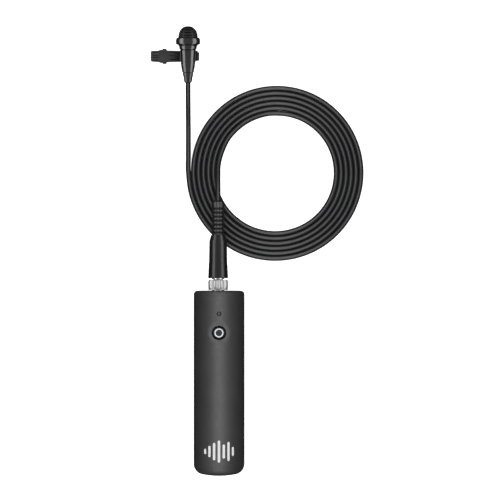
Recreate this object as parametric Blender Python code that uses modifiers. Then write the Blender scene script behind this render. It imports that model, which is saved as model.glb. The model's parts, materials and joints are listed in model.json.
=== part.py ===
"""Lavalier microphone set: clip-on microphone, coiled cord with locking plug, pocket transmitter.

The set lies flat on a surface at z = 0. The transmitter and the microphone point along +Y.
The origin is below the middle of the rigid pieces: transmitter, microphone and clip.
All lengths are in metres; MM turns a length in millimetres into metres.
"""

from math import cos, pi, radians, sin, sqrt

import bmesh
import bpy
from mathutils import Matrix, Vector

MM = 0.001
GAP = 0.3 * MM
FINE_GAP = 0.15 * MM
SEAM = 0.06 * MM
SHARP_ANGLE = radians(32)
WELD = 1e-6

# Driving dimensions
OVERALL_Y = 212.58 * MM
OVERALL_X = 44.4 * MM
BODY_R = 12.0 * MM
BODY_LENGTH = 87.52 * MM
BODY_WALL = 1.4 * MM
DOME_R = 40.0 * MM
DOME_CORNER_R = 5.0 * MM
CAP_EDGE_R = 1.9 * MM
CAP_HEIGHT = 2.2 * MM
CORD_R = 1.18 * MM
CORD_PITCH = 2.36 * MM
COIL_TURNS = 6
COIL_START_R = 41.55 * MM
MIC_Z = 9.0 * MM
MIC_OFFSET_X = 14.7 * MM
JACK_R = 1.75 * MM
PLUG_X = -0.46 * MM
PLUG_H = 0.38 * MM
BUTTON_H = -19.82 * MM
LED_H = -10.9 * MM
USB_H = -25.5 * MM
USB_Z = -2.0 * MM

# Places worked out from them
AXIS_X = OVERALL_X / 2 - BODY_R
AXIS_Z = BODY_R
TOP_Y = BODY_LENGTH - OVERALL_Y / 2
MIC_X = AXIS_X - MIC_OFFSET_X
DOME_TIP = 0.2 * MM
MIC_Y = OVERALL_Y / 2 - DOME_TIP
CLIP_Y = MIC_Y - 13.89 * MM
CLIP_LEFT_X = -OVERALL_X / 2
COIL_X = AXIS_X - 0.47 * MM + COIL_START_R - COIL_TURNS * CORD_PITCH
COIL_Y = TOP_Y + 56.14 * MM

# Places of the two board screws, from the transmitter's axis and top face
SCREW_PLACES = [(5.5 * MM, -18.45 * MM), (-5.5 * MM, -80.55 * MM)]

COLOURS = {
    "black_shell": ((0.022, 0.022, 0.024), 0.48, 0.0),
    "black_gloss": ((0.012, 0.012, 0.013), 0.2, 0.0),
    "black_metal": ((0.02, 0.02, 0.022), 0.28, 0.6),
    "cord_jacket": ((0.015, 0.015, 0.016), 0.42, 0.0),
    "boot_rubber": ((0.013, 0.013, 0.014), 0.55, 0.0),
    "nickel": ((0.62, 0.6, 0.57), 0.22, 1.0),
    "brass": ((0.7, 0.52, 0.22), 0.3, 1.0),
    "steel": ((0.5, 0.5, 0.52), 0.3, 1.0),
    "white_light": ((0.85, 0.86, 0.88), 0.35, 0.0),
    "clear_lens": ((0.08, 0.09, 0.08), 0.12, 0.0),
    "board_green": ((0.02, 0.12, 0.06), 0.45, 0.0),
    "chip_black": ((0.03, 0.03, 0.035), 0.5, 0.0),
    "grey_plastic": ((0.16, 0.16, 0.17), 0.5, 0.0),
    "foam_black": ((0.02, 0.02, 0.02), 0.95, 0.0),
    "cell_wrap": ((0.05, 0.13, 0.36), 0.4, 0.0),
    "wire_red": ((0.45, 0.02, 0.02), 0.45, 0.0),
}


# ---------------------------------------------------------------- scene and helpers

def empty_scene():
    """Remove what the start-up file holds and return the part's collection."""
    for obj in list(bpy.data.objects):
        bpy.data.objects.remove(obj)
    part = bpy.data.collections.new("lavalier_microphone_set")
    bpy.context.scene.collection.children.link(part)
    return part


PART = empty_scene()


def make_material(name):
    """A Principled material in one of the part's colours, made once and then reused."""
    if name in bpy.data.materials:
        return bpy.data.materials[name]
    colour, roughness, metallic = COLOURS[name]
    material = bpy.data.materials.new(name)
    material.use_nodes = True
    shader = material.node_tree.nodes["Principled BSDF"]
    shader.inputs["Base Color"].default_value = (*colour, 1.0)
    shader.inputs["Roughness"].default_value = roughness
    shader.inputs["Metallic"].default_value = metallic
    material.diffuse_color = (*colour, 1.0)
    return material


def guide(name, location, along_y=False):
    """An empty that carries the pieces on one axis; local +Z runs along the axis."""
    empty = bpy.data.objects.new(name, None)
    PART.objects.link(empty)
    empty.location = location
    if along_y:
        empty.rotation_euler = (-pi / 2, 0, 0)
    return empty


def add_object(name, data, parent=None):
    obj = bpy.data.objects.new(name, data)
    PART.objects.link(obj)
    obj.parent = parent
    bpy.context.view_layer.update()
    return obj


def finish(obj, material):
    """Give a finished sub-part its material and its shading."""
    obj.data.materials.clear()
    obj.data.materials.append(make_material(material))
    obj.data.shade_smooth()
    obj.data.set_sharp_from_angle(angle=SHARP_ANGLE)
    return obj


def keep_shape(obj):
    """Replace an object's modifiers by the mesh that they give."""
    bpy.context.view_layer.update()
    graph = bpy.context.evaluated_depsgraph_get()
    mesh = bpy.data.meshes.new_from_object(obj.evaluated_get(graph))
    obj.modifiers.clear()
    obj.data = mesh
    return obj


def combine(obj, other, operation):
    """Boolean obj with other, and remove other."""
    modifier = obj.modifiers.new(operation.title(), "BOOLEAN")
    modifier.operation = operation
    modifier.object = other
    modifier.solver = "EXACT"
    keep_shape(obj)
    bpy.data.objects.remove(other)
    return obj


def cut(obj, *cutters):
    for cutter in cutters:
        combine(obj, cutter, "DIFFERENCE")
    return obj


def join(obj, *others):
    for other in others:
        combine(obj, other, "UNION")
    return obj


def arc(centre, radius, start, end, count):
    """Points on a circular arc, in profile coordinates, from start to end degrees."""
    points = []
    for index in range(count + 1):
        angle = radians(start + (end - start) * index / count)
        points.append((centre[0] + radius * cos(angle), centre[1] + radius * sin(angle)))
    return points


def turned(name, profile, parent, steps):
    """Turn a profile of (radius, height) about the parent's local Z.

    The profile runs down the outer side. It is a closed ring unless both ends are on the axis.
    """
    mesh = bpy.data.meshes.new(name)
    shape = bmesh.new()
    verts = [shape.verts.new((radius, 0, height)) for radius, height in profile]
    for first, second in zip(verts, verts[1:]):
        shape.edges.new((first, second))
    if profile[0][0] > 0 and profile[-1][0] > 0:
        shape.edges.new((verts[-1], verts[0]))
    shape.to_mesh(mesh)
    shape.free()
    obj = add_object(name, mesh, parent)
    screw = obj.modifiers.new("Screw", "SCREW")
    screw.steps = steps
    screw.render_steps = steps
    screw.use_merge_vertices = True
    screw.merge_threshold = WELD
    return keep_shape(obj)


def block(name, low, high, parent=None, bevel=0.0):
    """A box between two corners, with its edges rounded by bevel."""
    low = Vector(low)
    high = Vector(high)
    mesh = bpy.data.meshes.new(name)
    shape = bmesh.new()
    bmesh.ops.create_cube(shape, size=1.0)
    bmesh.ops.scale(shape, vec=high - low, verts=shape.verts)
    bmesh.ops.translate(shape, vec=(low + high) / 2, verts=shape.verts)
    shape.to_mesh(mesh)
    shape.free()
    obj = add_object(name, mesh, parent)
    if bevel:
        rounding = obj.modifiers.new("Bevel", "BEVEL")
        rounding.width = bevel
        rounding.segments = 2
        rounding.limit_method = "ANGLE"
        keep_shape(obj)
    return obj


def rod(name, radius, start, end, sides=24):
    """A plain cylinder between two points."""
    start = Vector(start)
    end = Vector(end)
    direction = end - start
    turn = direction.to_track_quat("Z", "Y").to_matrix().to_4x4()
    place = Matrix.Translation((start + end) / 2) @ turn
    mesh = bpy.data.meshes.new(name)
    shape = bmesh.new()
    bmesh.ops.create_cone(shape, cap_ends=True, segments=sides, radius1=radius, radius2=radius,
                          depth=direction.length, matrix=place)
    shape.to_mesh(mesh)
    shape.free()
    return add_object(name, mesh)


def curve_to_mesh(obj):
    """A mesh object in the place of a curve, with the curve's caps welded on."""
    graph = bpy.context.evaluated_depsgraph_get()
    mesh = bpy.data.meshes.new_from_object(obj.evaluated_get(graph))
    shape = bmesh.new()
    shape.from_mesh(mesh)
    bmesh.ops.remove_doubles(shape, verts=shape.verts, dist=WELD)
    bmesh.ops.recalc_face_normals(shape, faces=shape.faces)
    shape.to_mesh(mesh)
    shape.free()
    name = obj.name
    place = obj.matrix_world.copy()
    bpy.data.objects.remove(obj)
    solid = add_object(name, mesh)
    solid.matrix_world = place
    return solid


def plate(name, outline, thickness, place):
    """A flat outline, as thick as thickness, with its middle plane at place."""
    curve = bpy.data.curves.new(name, "CURVE")
    curve.dimensions = "2D"
    curve.fill_mode = "BOTH"
    curve.extrude = thickness / 2
    spline = curve.splines.new("POLY")
    spline.points.add(len(outline) - 1)
    spline.use_cyclic_u = True
    for point, (across, up) in zip(spline.points, outline):
        point.co = (across, up, 0, 1)
    obj = add_object(name, curve)
    obj.matrix_world = place
    bpy.context.view_layer.update()
    return curve_to_mesh(obj)


def side_plate(name, outline, thickness, y):
    """A plate whose outline is in X and Z, centred on y."""
    return plate(name, outline, thickness, Matrix.Translation((0, y, 0)) @ Matrix.Rotation(pi / 2, 4, "X"))


def strip_outline(path, thickness):
    """The outline of a bent strip that follows a path of (x, y) points."""
    left = []
    right = []
    for index, point in enumerate(path):
        before = Vector(path[max(index - 1, 0)])
        after = Vector(path[min(index + 1, len(path) - 1)])
        normal = (after - before).orthogonal().normalized() * thickness / 2
        left.append(tuple(Vector(point) + normal))
        right.append(tuple(Vector(point) - normal))
    return left + right[::-1]


def smooth_route(route, spacing):
    """Points at an even spacing on a smooth curve through the route's own points."""
    points = [Vector(point) for point in route]
    points = [2 * points[0] - points[1]] + points + [2 * points[-1] - points[-2]]
    dense = []
    for index in range(1, len(points) - 2):
        before, start, end, after = points[index - 1:index + 3]
        for step in range(20):
            t = step / 20
            dense.append(0.5 * (2 * start + (end - before) * t
                                + (2 * before - 5 * start + 4 * end - after) * t ** 2
                                + (3 * start - before - 3 * end + after) * t ** 3))
    dense.append(points[-2])
    lengths = [0.0]
    for first, second in zip(dense, dense[1:]):
        lengths.append(lengths[-1] + (second - first).length)
    count = max(2, round(lengths[-1] / spacing))
    even = []
    for step in range(count + 1):
        target = lengths[-1] * step / count
        index = next((i for i, length in enumerate(lengths) if length >= target), len(lengths) - 1)
        even.append(dense[index])
    return even


def tube(name, route, radius, spacing, resolution=2):
    """A round wire or cord along a smooth route, as a closed mesh."""
    curve = bpy.data.curves.new(name, "CURVE")
    curve.dimensions = "3D"
    curve.bevel_depth = radius
    curve.bevel_resolution = resolution
    curve.use_fill_caps = True
    curve.render_resolution_u = 0
    points = smooth_route(route, spacing)
    spline = curve.splines.new("POLY")
    spline.points.add(len(points) - 1)
    for point, place in zip(spline.points, points):
        point.co = (*place, 1)
    return curve_to_mesh(add_object(name, curve))


def on_body(x, h, z):
    """World place of a point given from the transmitter's axis and top face."""
    return Vector((AXIS_X + x, TOP_Y + h, AXIS_Z + z))


def body_block(name, low, high, bevel=0.0):
    """A box given in millimetres from the transmitter's axis and top face."""
    low = on_body(*(value * MM for value in low))
    high = on_body(*(value * MM for value in high))
    return block(name, low, high, bevel=bevel)


def mm(points):
    return [(first * MM, second * MM) for first, second in points]


BODY_AXIS = guide("transmitter_axis", on_body(0, 0, 0), along_y=True)
PLUG_AXIS = guide("plug_axis", on_body(PLUG_X, PLUG_H, 0), along_y=True)
MIC_AXIS = guide("microphone_axis", (MIC_X, MIC_Y, MIC_Z), along_y=True)
BUTTON_AXIS = guide("button_axis", on_body(0, BUTTON_H, 0))
LED_AXIS = guide("led_axis", on_body(0, LED_H, 0))
bpy.context.view_layer.update()


# ---------------------------------------------------------------- transmitter

def dome_profile(wall):
    """The domed end's outline, offset inwards by wall, from the side to the axis."""
    corner_r = BODY_R - DOME_CORNER_R
    centre_gap = sqrt((DOME_R - DOME_CORNER_R) ** 2 - corner_r ** 2)
    dome_centre = -BODY_LENGTH + DOME_R
    corner_centre = dome_centre - centre_gap
    lean = Vector((corner_r, centre_gap)).angle(Vector((1, 0))) * 180 / pi
    points = arc((corner_r, corner_centre), DOME_CORNER_R - wall, 0, -lean, 5)
    points += arc((0, dome_centre), DOME_R - wall, -lean, -90, 3)[1:-1]
    points.append((0, -BODY_LENGTH + wall))
    return points


def make_housing():
    rim = -CAP_HEIGHT - SEAM
    outer = [(BODY_R, rim)] + dome_profile(0)
    inner = [(BODY_R - BODY_WALL, rim)] + dome_profile(BODY_WALL)
    housing = turned("transmitter_housing", inner[::-1] + outer, BODY_AXIS, 48)
    for name, h, radius, sides in (("button_hole", BUTTON_H, 3.4, 32), ("led_hole", LED_H, 1.2, 16)):
        cut(housing, rod(name, radius * MM, on_body(0, h, 8 * MM), on_body(0, h, 13 * MM), sides))
    cut(housing, usb_cutter())
    finish(housing, "black_shell")


def usb_cutter():
    """The charging port's opening, through the housing and the tray."""
    low = on_body(9 * MM, USB_H - 4.1 * MM, USB_Z - 1.65 * MM)
    high = on_body(13 * MM, USB_H + 4.1 * MM, USB_Z + 1.65 * MM)
    return block("usb_cutter", low, high, bevel=0.5 * MM)


def make_top_cap():
    spigot_r = BODY_R - BODY_WALL - GAP
    edge = arc((BODY_R - CAP_EDGE_R, -CAP_EDGE_R), CAP_EDGE_R, 90, 0, 4)
    inside_r = 8.8 * MM
    profile = [(0, 0)] + edge + [(BODY_R, -CAP_HEIGHT), (spigot_r, -CAP_HEIGHT), (spigot_r, -6.0 * MM),
                                 (inside_r, -6.0 * MM), (inside_r, -1.7 * MM), (0, -1.7 * MM)]
    cap = turned("top_cap", profile, BODY_AXIS, 48)
    hole = rod("bush_hole", 3.3 * MM, on_body(PLUG_X, MM, 0), on_body(PLUG_X, -3 * MM, 0), 32)
    finish(cut(cap, hole), "black_shell")


def make_jack():
    bore = JACK_R + 0.2 * MM
    bush = [(bore, 2.15 * MM), (2.8 * MM, 2.15 * MM), (3.0 * MM, 1.95 * MM), (3.0 * MM, -2.38 * MM),
            (4.8 * MM, -2.38 * MM), (4.8 * MM, -3.38 * MM), (bore, -3.38 * MM)]
    finish(turned("threaded_bush", bush, PLUG_AXIS, 24), "nickel")
    socket = body_block("jack_socket", (-4.66, -16.5, -4.2), (3.74, -3.3, 4.2), bevel=0.4 * MM)
    cut(socket,
        rod("plug_bore", bore, on_body(PLUG_X, -2 * MM, 0), on_body(PLUG_X, -14.5 * MM, 0), 24),
        body_block("tip_slot", (0.94, -12.22, -0.9), (4.54, -7.82, 0.9)),
        body_block("ring_slot", (-5.46, -9.22, -0.9), (-1.86, -4.82, 0.9)))
    finish(socket, "chip_black")
    make_leaf("jack_tip_contact", 1, -10.4)
    make_leaf("jack_ring_contact", -1, -7.4)


def make_leaf(name, side, h):
    """A bent contact leaf in a slot of the socket, with its tail outside; h is its contact point."""
    path = mm([(2.9 * side, h + 1.6), (2.15 * side, h), (2.9 * side, h - 1.6), (5.4 * side, h - 1.6)])
    place = Matrix.Translation(on_body(PLUG_X, PLUG_H, 0))
    leaf = plate(name, strip_outline(path, 0.25 * MM), 1.1 * MM, place)
    finish(leaf, "brass")


def make_button():
    profile = mm([(0, 11.6), (1.35, 11.6), (1.35, 10.8), (2.3, 10.8), (2.3, 11.6), (2.9, 11.6),
                  (3.1, 11.4), (3.1, 9.4), (3.9, 9.4), (3.9, 8.8), (0, 8.8)])
    finish(turned("power_button", profile, BUTTON_AXIS, 24), "black_shell")
    ring = mm([(2.15, 11.6), (2.15, 11.0), (1.5, 11.0), (1.5, 11.6)])
    finish(turned("button_light_ring", ring, BUTTON_AXIS, 24), "white_light")
    switch = body_block("tactile_switch", (-2.25, -22.07, 6.5), (2.25, -17.57, 7.7))
    plunger = rod("plunger", 1.1 * MM, on_body(0, BUTTON_H, 7 * MM), on_body(0, BUTTON_H, 8.2 * MM), 16)
    finish(join(switch, plunger), "steel")


def make_status_light():
    profile = mm([(0, 11.9), (1.0, 11.9), (1.0, 9.9), (1.6, 9.9), (1.6, 9.3), (1.0, 9.3),
                  (1.0, 7.4), (0, 7.4)])
    finish(turned("status_led_lens", profile, LED_AXIS, 12), "clear_lens")
    finish(body_block("status_led", (-1.0, -11.5, 6.5), (1.0, -10.3, 7.1)), "white_light")


def make_boards():
    board = body_block("main_pcb", (-8.0, -82.0, 5.2), (8.0, -9.5, 6.2))
    for x, h in SCREW_PLACES:
        cut(board, rod("screw_hole", 0.9 * MM, on_body(x, h, 4 * MM), on_body(x, h, 7 * MM), 12))
    finish(board, "board_green")
    shield = body_block("rf_shield", (-6.0, -64.0, 6.5), (6.0, -44.0, 8.4))
    cut(shield, body_block("shield_inside", (-5.6, -63.6, 6.0), (5.6, -44.4, 8.0)))
    finish(shield, "steel")
    finish(body_block("radio_chip", (-2.5, -56.5, 6.5), (2.5, -51.5, 7.4)), "chip_black")
    finish(body_block("antenna_strip", (-5.0, -84.9, 5.55), (5.0, -82.3, 5.85)), "brass")
    finish(body_block("charge_board", (-8.8, -30.5, -0.4), (8.8, -20.2, 0.4)), "board_green")


def make_pcb_screws():
    for name, (x, h) in zip(("pcb_screw_front", "pcb_screw_rear"), SCREW_PLACES):
        profile = mm([(0, 7.05), (1.0, 7.05), (1.2, 6.85), (1.2, 6.35), (0.6, 6.35), (0.6, 2.8),
                      (0, 2.6)])
        axis = guide(name + "_axis", on_body(x, h, 0))
        screw = turned(name, profile, axis, 12)
        slot = block("slot", on_body(x - 1.5 * MM, h - 0.15 * MM, 6.8 * MM),
                     on_body(x + 1.5 * MM, h + 0.15 * MM, 7.5 * MM))
        finish(cut(screw, slot), "steel")


def make_tray():
    """The chassis tray: a trough with two end walls, open towards the board."""
    profile = mm([(10.3, -17.2), (10.3, -81.8), (3.0, -81.8), (3.0, -79.3), (9.75, -79.3),
                  (9.75, -19.7), (3.0, -19.7), (3.0, -17.2)])
    tray = turned("chassis_tray", profile, BODY_AXIS, 36)
    cut(tray, body_block("tray_top", (-12, -85, 4.9), (12, -15, 12)), usb_cutter())
    for x, h in SCREW_PLACES:
        cut(tray, rod("screw_hole", 0.75 * MM, on_body(x, h, 2.2 * MM), on_body(x, h, 6 * MM), 12))
    finish(tray, "grey_plastic")


def make_battery():
    cell_axis = guide("battery_axis", on_body(0, 0, -2.4 * MM), along_y=True)
    cell = mm([(0, -34.0), (6.6, -34.0), (7.0, -34.4), (7.0, -76.6), (6.6, -77.0), (0, -77.0)])
    finish(turned("battery_cell", cell, cell_axis, 24), "cell_wrap")
    pad = mm([(0, -77.3), (6.3, -77.3), (6.3, -79.0), (0, -79.0)])
    finish(turned("battery_pad", pad, cell_axis, 16), "foam_black")
    for name, x, material in (("battery_lead_red", -3, "wire_red"), ("battery_lead_black", 3, "chip_black")):
        route = [on_body(x * MM, h * MM, z * MM)
                 for h, z in ((-33.7, -1.2), (-32.7, -1.0), (-32.05, 0.2), (-31.95, 2.5), (-31.95, 4.9))]
        finish(tube(name, route, 0.35 * MM, 1.0 * MM, 1), material)


def make_usb():
    shell = body_block("usb_socket", (5.2, -29.2, -3.3), (11.3, -21.8, -0.7), bevel=0.4 * MM)
    cut(shell, body_block("usb_inside", (7.0, -28.8, -2.9), (12.0, -22.2, -1.1), bevel=0.3 * MM))
    finish(shell, "steel")
    finish(body_block("usb_tongue", (7.15, -27.7, -2.2), (10.6, -23.3, -1.8)), "chip_black")


# ---------------------------------------------------------------- plug

def make_lock_nut():
    """A captive knurled ring that turns on the plug and covers the threaded bush."""
    top = 4.69 * MM
    bottom = GAP - PLUG_H
    chamfer = 0.35 * MM
    outer = 4.72 * MM
    bore = 3.35 * MM
    neck = 2.5 * MM
    ledge = 3.45 * MM
    flutes_round = 9
    flute_r = 1.2 * MM
    flute_centre = 5.27 * MM
    profile = [(neck, top), (outer - chamfer, top), (outer, top - chamfer), (outer, bottom + chamfer),
               (outer - chamfer, bottom), (bore, bottom), (bore, ledge), (neck, ledge)]
    nut = turned("lock_nut", profile, PLUG_AXIS, 72)
    flutes = bmesh.new()
    for index in range(flutes_round):
        angle = 2 * pi * index / flutes_round - pi / 2
        place = Matrix.Translation((flute_centre * cos(angle), flute_centre * sin(angle), 0))
        bmesh.ops.create_cone(flutes, cap_ends=True, segments=16, radius1=flute_r, radius2=flute_r,
                              depth=4 * top, matrix=place)
    mesh = bpy.data.meshes.new("flutes")
    flutes.to_mesh(mesh)
    flutes.free()
    finish(cut(nut, add_object("flutes", mesh, PLUG_AXIS)), "nickel")


def make_plug_contacts():
    """The stepped plug: sleeve with the body it grows from, insulator, ring and tip."""
    core = mm([(1.25, 14.8), (2.4, 14.8), (2.4, 12.3), (2.9, 12.0), (2.9, 5.05), (2.2, 5.05),
               (2.2, 3.2), (3.05, 3.2), (3.05, 2.45), (1.75, 2.45), (1.75, -4.0), (1.25, -4.0)])
    finish(turned("plug_core", core, PLUG_AXIS, 24), "nickel")
    insulator = mm([(0.62, 15.6), (1.1, 15.6), (1.1, -4.15), (1.68, -4.15), (1.68, -4.55), (0.85, -4.55),
                    (0.85, -7.15), (1.68, -7.15), (1.68, -7.55), (0.62, -7.55)])
    finish(turned("plug_insulator", insulator, PLUG_AXIS, 16), "chip_black")
    ring = mm([(1.0, -4.7), (1.75, -4.7), (1.75, -7.0), (1.0, -7.0)])
    finish(turned("plug_ring_contact", ring, PLUG_AXIS, 16), "nickel")
    tip = mm([(0, 16.6), (0.5, 16.6), (0.5, -7.7), (1.75, -7.7), (1.75, -8.5), (1.25, -9.3), (1.6, -10.1),
              (1.25, -11.0), (0.6, -11.5), (0, -11.55)])
    finish(turned("plug_tip", tip, PLUG_AXIS, 16), "nickel")


def make_plug_handle():
    profile = mm([(2.6, 25.89), (3.3, 25.89), (3.42, 25.7), (3.8, 24.1), (4.1, 23.5), (4.17, 22.9),
                  (4.25, 18.0), (4.33, 13.2), (4.45, 11.8), (4.6, 9.3), (4.68, 6.6), (4.6, 5.38),
                  (3.2, 5.38), (3.2, 19.3), (2.6, 19.9)])
    finish(turned("plug_handle", profile, PLUG_AXIS, 28), "black_gloss")
    crimp = mm([(1.25, 21.0), (1.9, 21.0), (1.9, 17.0), (1.25, 17.0)])
    finish(turned("cable_crimp", crimp, PLUG_AXIS, 20), "brass")


def make_plug_boot():
    """The ribbed bend relief; its foot sits inside the handle."""
    boot_r = 3.0 * MM
    valley_r = 2.5 * MM
    pitch = 1.89 * MM
    ribs = 7
    shoulder = 39.48 * MM
    profile = mm([(0, 42.18), (1.5, 42.18)])
    profile += arc((2.1 * MM, 41.08 * MM), 0.9 * MM, 75, 0, 3)
    for rib in range(ribs):
        height = shoulder - rib * pitch
        profile += [(boot_r, height), (valley_r, height - 0.45 * MM), (boot_r, height - 0.9 * MM)]
    profile += mm([(3.0, 26.19), (2.3, 26.19), (2.3, 21.6), (0, 21.6)])
    finish(turned("plug_boot", profile, PLUG_AXIS, 20), "boot_rubber")


# ---------------------------------------------------------------- cord

RING_TOP = 2 * CORD_R
RING_R = COIL_START_R + 0.6 * MM
RING_HOLE_R = COIL_START_R - COIL_TURNS * CORD_PITCH - 1.75 * MM
RING_X = COIL_X - 0.56 * MM
RING_Y = COIL_Y - 0.58 * MM

# The two free ends of the cord, in millimetres, each from its grommet to the coil
MIC_LEAD_ROUTE = [
    (-4.50, 79.15, 9.00), (-4.50, 76.00, 8.95), (-4.47, 71.00, 7.85), (-4.46, 65.00, 5.20),
    (-4.44, 59.50, 2.75), (-4.43, 55.00, 1.60), (-4.44, 51.40, 1.30)]
PLUG_TAIL_ROUTE = [
    (9.70, 24.09, 12.00), (9.70, 26.96, 11.95), (9.68, 30.96, 11.20), (9.66, 35.46, 9.40),
    (9.80, 40.46, 7.10), (10.95, 45.46, 5.20), (12.90, 50.46, 4.10), (15.40, 54.56, 3.80)]


def make_cord():
    for name, route in (("cord_mic_lead", MIC_LEAD_ROUTE), ("cord_plug_tail", PLUG_TAIL_ROUTE)):
        places = [Vector(point) * MM for point in route]
        finish(tube(name, places, CORD_R, 5 * CORD_R), "cord_jacket")
    edge = 0.5 * MM
    profile = [(RING_R - edge, RING_TOP), (RING_R, RING_TOP - edge), (RING_R, edge), (RING_R - edge, 0),
               (RING_HOLE_R + edge, 0), (RING_HOLE_R, edge), (RING_HOLE_R, RING_TOP - edge),
               (RING_HOLE_R + edge, RING_TOP)]
    ring_axis = guide("coil_axis", (RING_X, RING_Y, 0))
    finish(turned("cord_coil", profile, ring_axis, 48), "cord_jacket")


# ---------------------------------------------------------------- microphone

def dome_points(radius, height, base, count):
    """A rounded cap, a little fuller than an ellipse, from its top down to its base."""
    power = 2.25
    points = []
    for index in range(count + 1):
        turn = pi / 2 * index / count
        r = radius * sin(turn) ** (2 / power)
        points.append((r, base + height * cos(turn) ** (2 / power)))
    points[0] = (0, base + height)
    points[-1] = (radius, base)
    return points


def make_windscreen():
    """Slotted cage, its base collar and the foam inside; heights run down from just under the tip."""
    base = -5.29 * MM
    rise = DOME_TIP - base
    wall = 0.5 * MM
    cage_r = 4.6 * MM
    outer = dome_points(cage_r, rise, base, 7) + [(cage_r, -6.5 * MM)]
    inner = dome_points(cage_r - wall, rise - wall, base, 7) + [(cage_r - wall, -6.5 * MM)]
    cage = turned("windscreen_cage", inner[::-1] + outer, MIC_AXIS, 30)
    slots_round = 6
    for height, width in ((-1.5, 2.2), (-2.9, 3.3), (-4.3, 3.7)):
        for index in range(slots_round):
            slot = block("slot", (2.0 * MM, -width * MM / 2, (height - 0.3) * MM),
                         (6.0 * MM, width * MM / 2, (height + 0.3) * MM), MIC_AXIS)
            slot.rotation_euler = (0, 0, 2 * pi * (index + 0.5) / slots_round)
            bpy.context.view_layer.update()
            cut(cage, slot)
    finish(cage, "black_metal")
    collar = mm([(4.8, -5.29), (5.15, -5.29), (5.52, -5.65), (5.7, -6.2), (5.73, -6.8), (5.73, -7.9),
                 (5.62, -8.3), (5.45, -8.5), (3.95, -8.5), (3.95, -6.85), (4.8, -6.75)])
    finish(turned("windscreen_collar", collar, MIC_AXIS, 32), "black_gloss")
    foam_out = dome_points(3.9 * MM, 4.55 * MM, base, 6) + [(3.9 * MM, -6.4 * MM)]
    foam_in = dome_points(2.8 * MM, 3.4 * MM, base, 6) + [(2.8 * MM, -6.4 * MM)]
    finish(turned("foam_liner", foam_in[::-1] + foam_out, MIC_AXIS, 16), "foam_black")


def make_mic_head():
    neck = mm([(3.25, -6.9), (3.75, -6.9), (3.75, -8.66), (4.7, -8.66), (4.4, -9.1), (4.18, -9.5),
               (4.1, -10.1), (3.95, -10.6), (3.9, -10.78), (3.25, -10.78)])
    finish(turned("neck_ring", neck, MIC_AXIS, 28), "black_gloss")
    capsule = mm([(0, -6.75), (1.9, -6.75), (2.1, -6.9), (2.4, -6.9), (2.4, -9.3), (0, -9.3)])
    finish(turned("electret_capsule", capsule, MIC_AXIS, 16), "steel")
    gasket = mm([(2.55, -7.1), (3.1, -7.1), (3.1, -9.2), (2.55, -9.2)])
    finish(turned("capsule_gasket", gasket, MIC_AXIS, 16), "boot_rubber")
    board = mm([(0, -9.6), (2.2, -9.6), (2.2, -10.2), (0, -10.2)])
    finish(turned("capsule_board", board, MIC_AXIS, 16), "board_green")


def make_mic_body():
    body = mm([(2.5, -9.5), (3.05, -9.5), (3.05, -10.96), (3.86, -10.96), (3.62, -14.0), (3.42, -16.83),
               (3.31, -18.28), (3.18, -19.3), (2.98, -20.1), (2.83, -20.8), (2.78, -21.5),
               (2.7, -21.75), (1.7, -21.75), (1.7, -18.5), (2.5, -16.0)])
    finish(turned("microphone_body", body, MIC_AXIS, 28), "black_gloss")
    boot = mm([(0, -19.2), (1.4, -19.2), (1.4, -21.93), (2.48, -21.93), (2.4, -22.9), (2.18, -23.9),
               (2.02, -24.6), (1.97, -25.2), (1.82, -25.7), (1.72, -26.1), (1.48, -26.4),
               (1.3, -26.64), (0, -26.64)])
    finish(turned("microphone_boot", boot, MIC_AXIS, 24), "boot_rubber")


# ---------------------------------------------------------------- clip

PIVOT_X = CLIP_LEFT_X + 6.5 * MM
PIVOT_Z = 3.1 * MM
PIN_R = 0.65 * MM


def clip_plan(name):
    """The clip's outline from above, as a tall block that trims the side shapes."""
    half = [(0.0, 2.1), (0.3, 2.42), (3.9, 2.62), (4.2, 2.97), (5.8, 3.06), (7.3, 2.95), (7.7, 2.75),
            (8.6, 2.64), (19.5, 2.4), (21.2, 2.4), (21.35, 1.6), (21.9, 1.6), (22.05, 1.95), (22.93, 1.95)]
    points = half + [(x, -y) for x, y in half[::-1]]
    outline = [(CLIP_LEFT_X + x * MM, CLIP_Y + y * MM) for x, y in points]
    return plate(name, outline, 40 * MM, Matrix.Identity(4))


def clip_side(name, points, width, y=0.0):
    """A side outline in millimetres from the clip's left end and the ground, width across."""
    outline = [(CLIP_LEFT_X + x * MM, z * MM) for x, z in points]
    return side_plate(name, outline, width, CLIP_Y + y)


def ear(name, y, low, high):
    """One pivot ear: a round end about the pin and a web that runs up or down to the plate."""
    pin = Vector((PIVOT_X, CLIP_Y + y, PIVOT_Z))
    half = Vector((0, 0.35 * MM, 0))
    ear_r = 1.15 * MM
    web = block(name, (PIVOT_X - ear_r, pin.y - half.y, low), (PIVOT_X + ear_r, pin.y + half.y, high))
    return join(web, rod("round_end", ear_r, pin - half, pin + half, 20))


def pin_hole(name):
    reach = Vector((0, 5 * MM, 0))
    centre = Vector((PIVOT_X, CLIP_Y, PIVOT_Z))
    return rod(name, PIN_R + FINE_GAP, centre - reach, centre + reach, 20)


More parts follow.
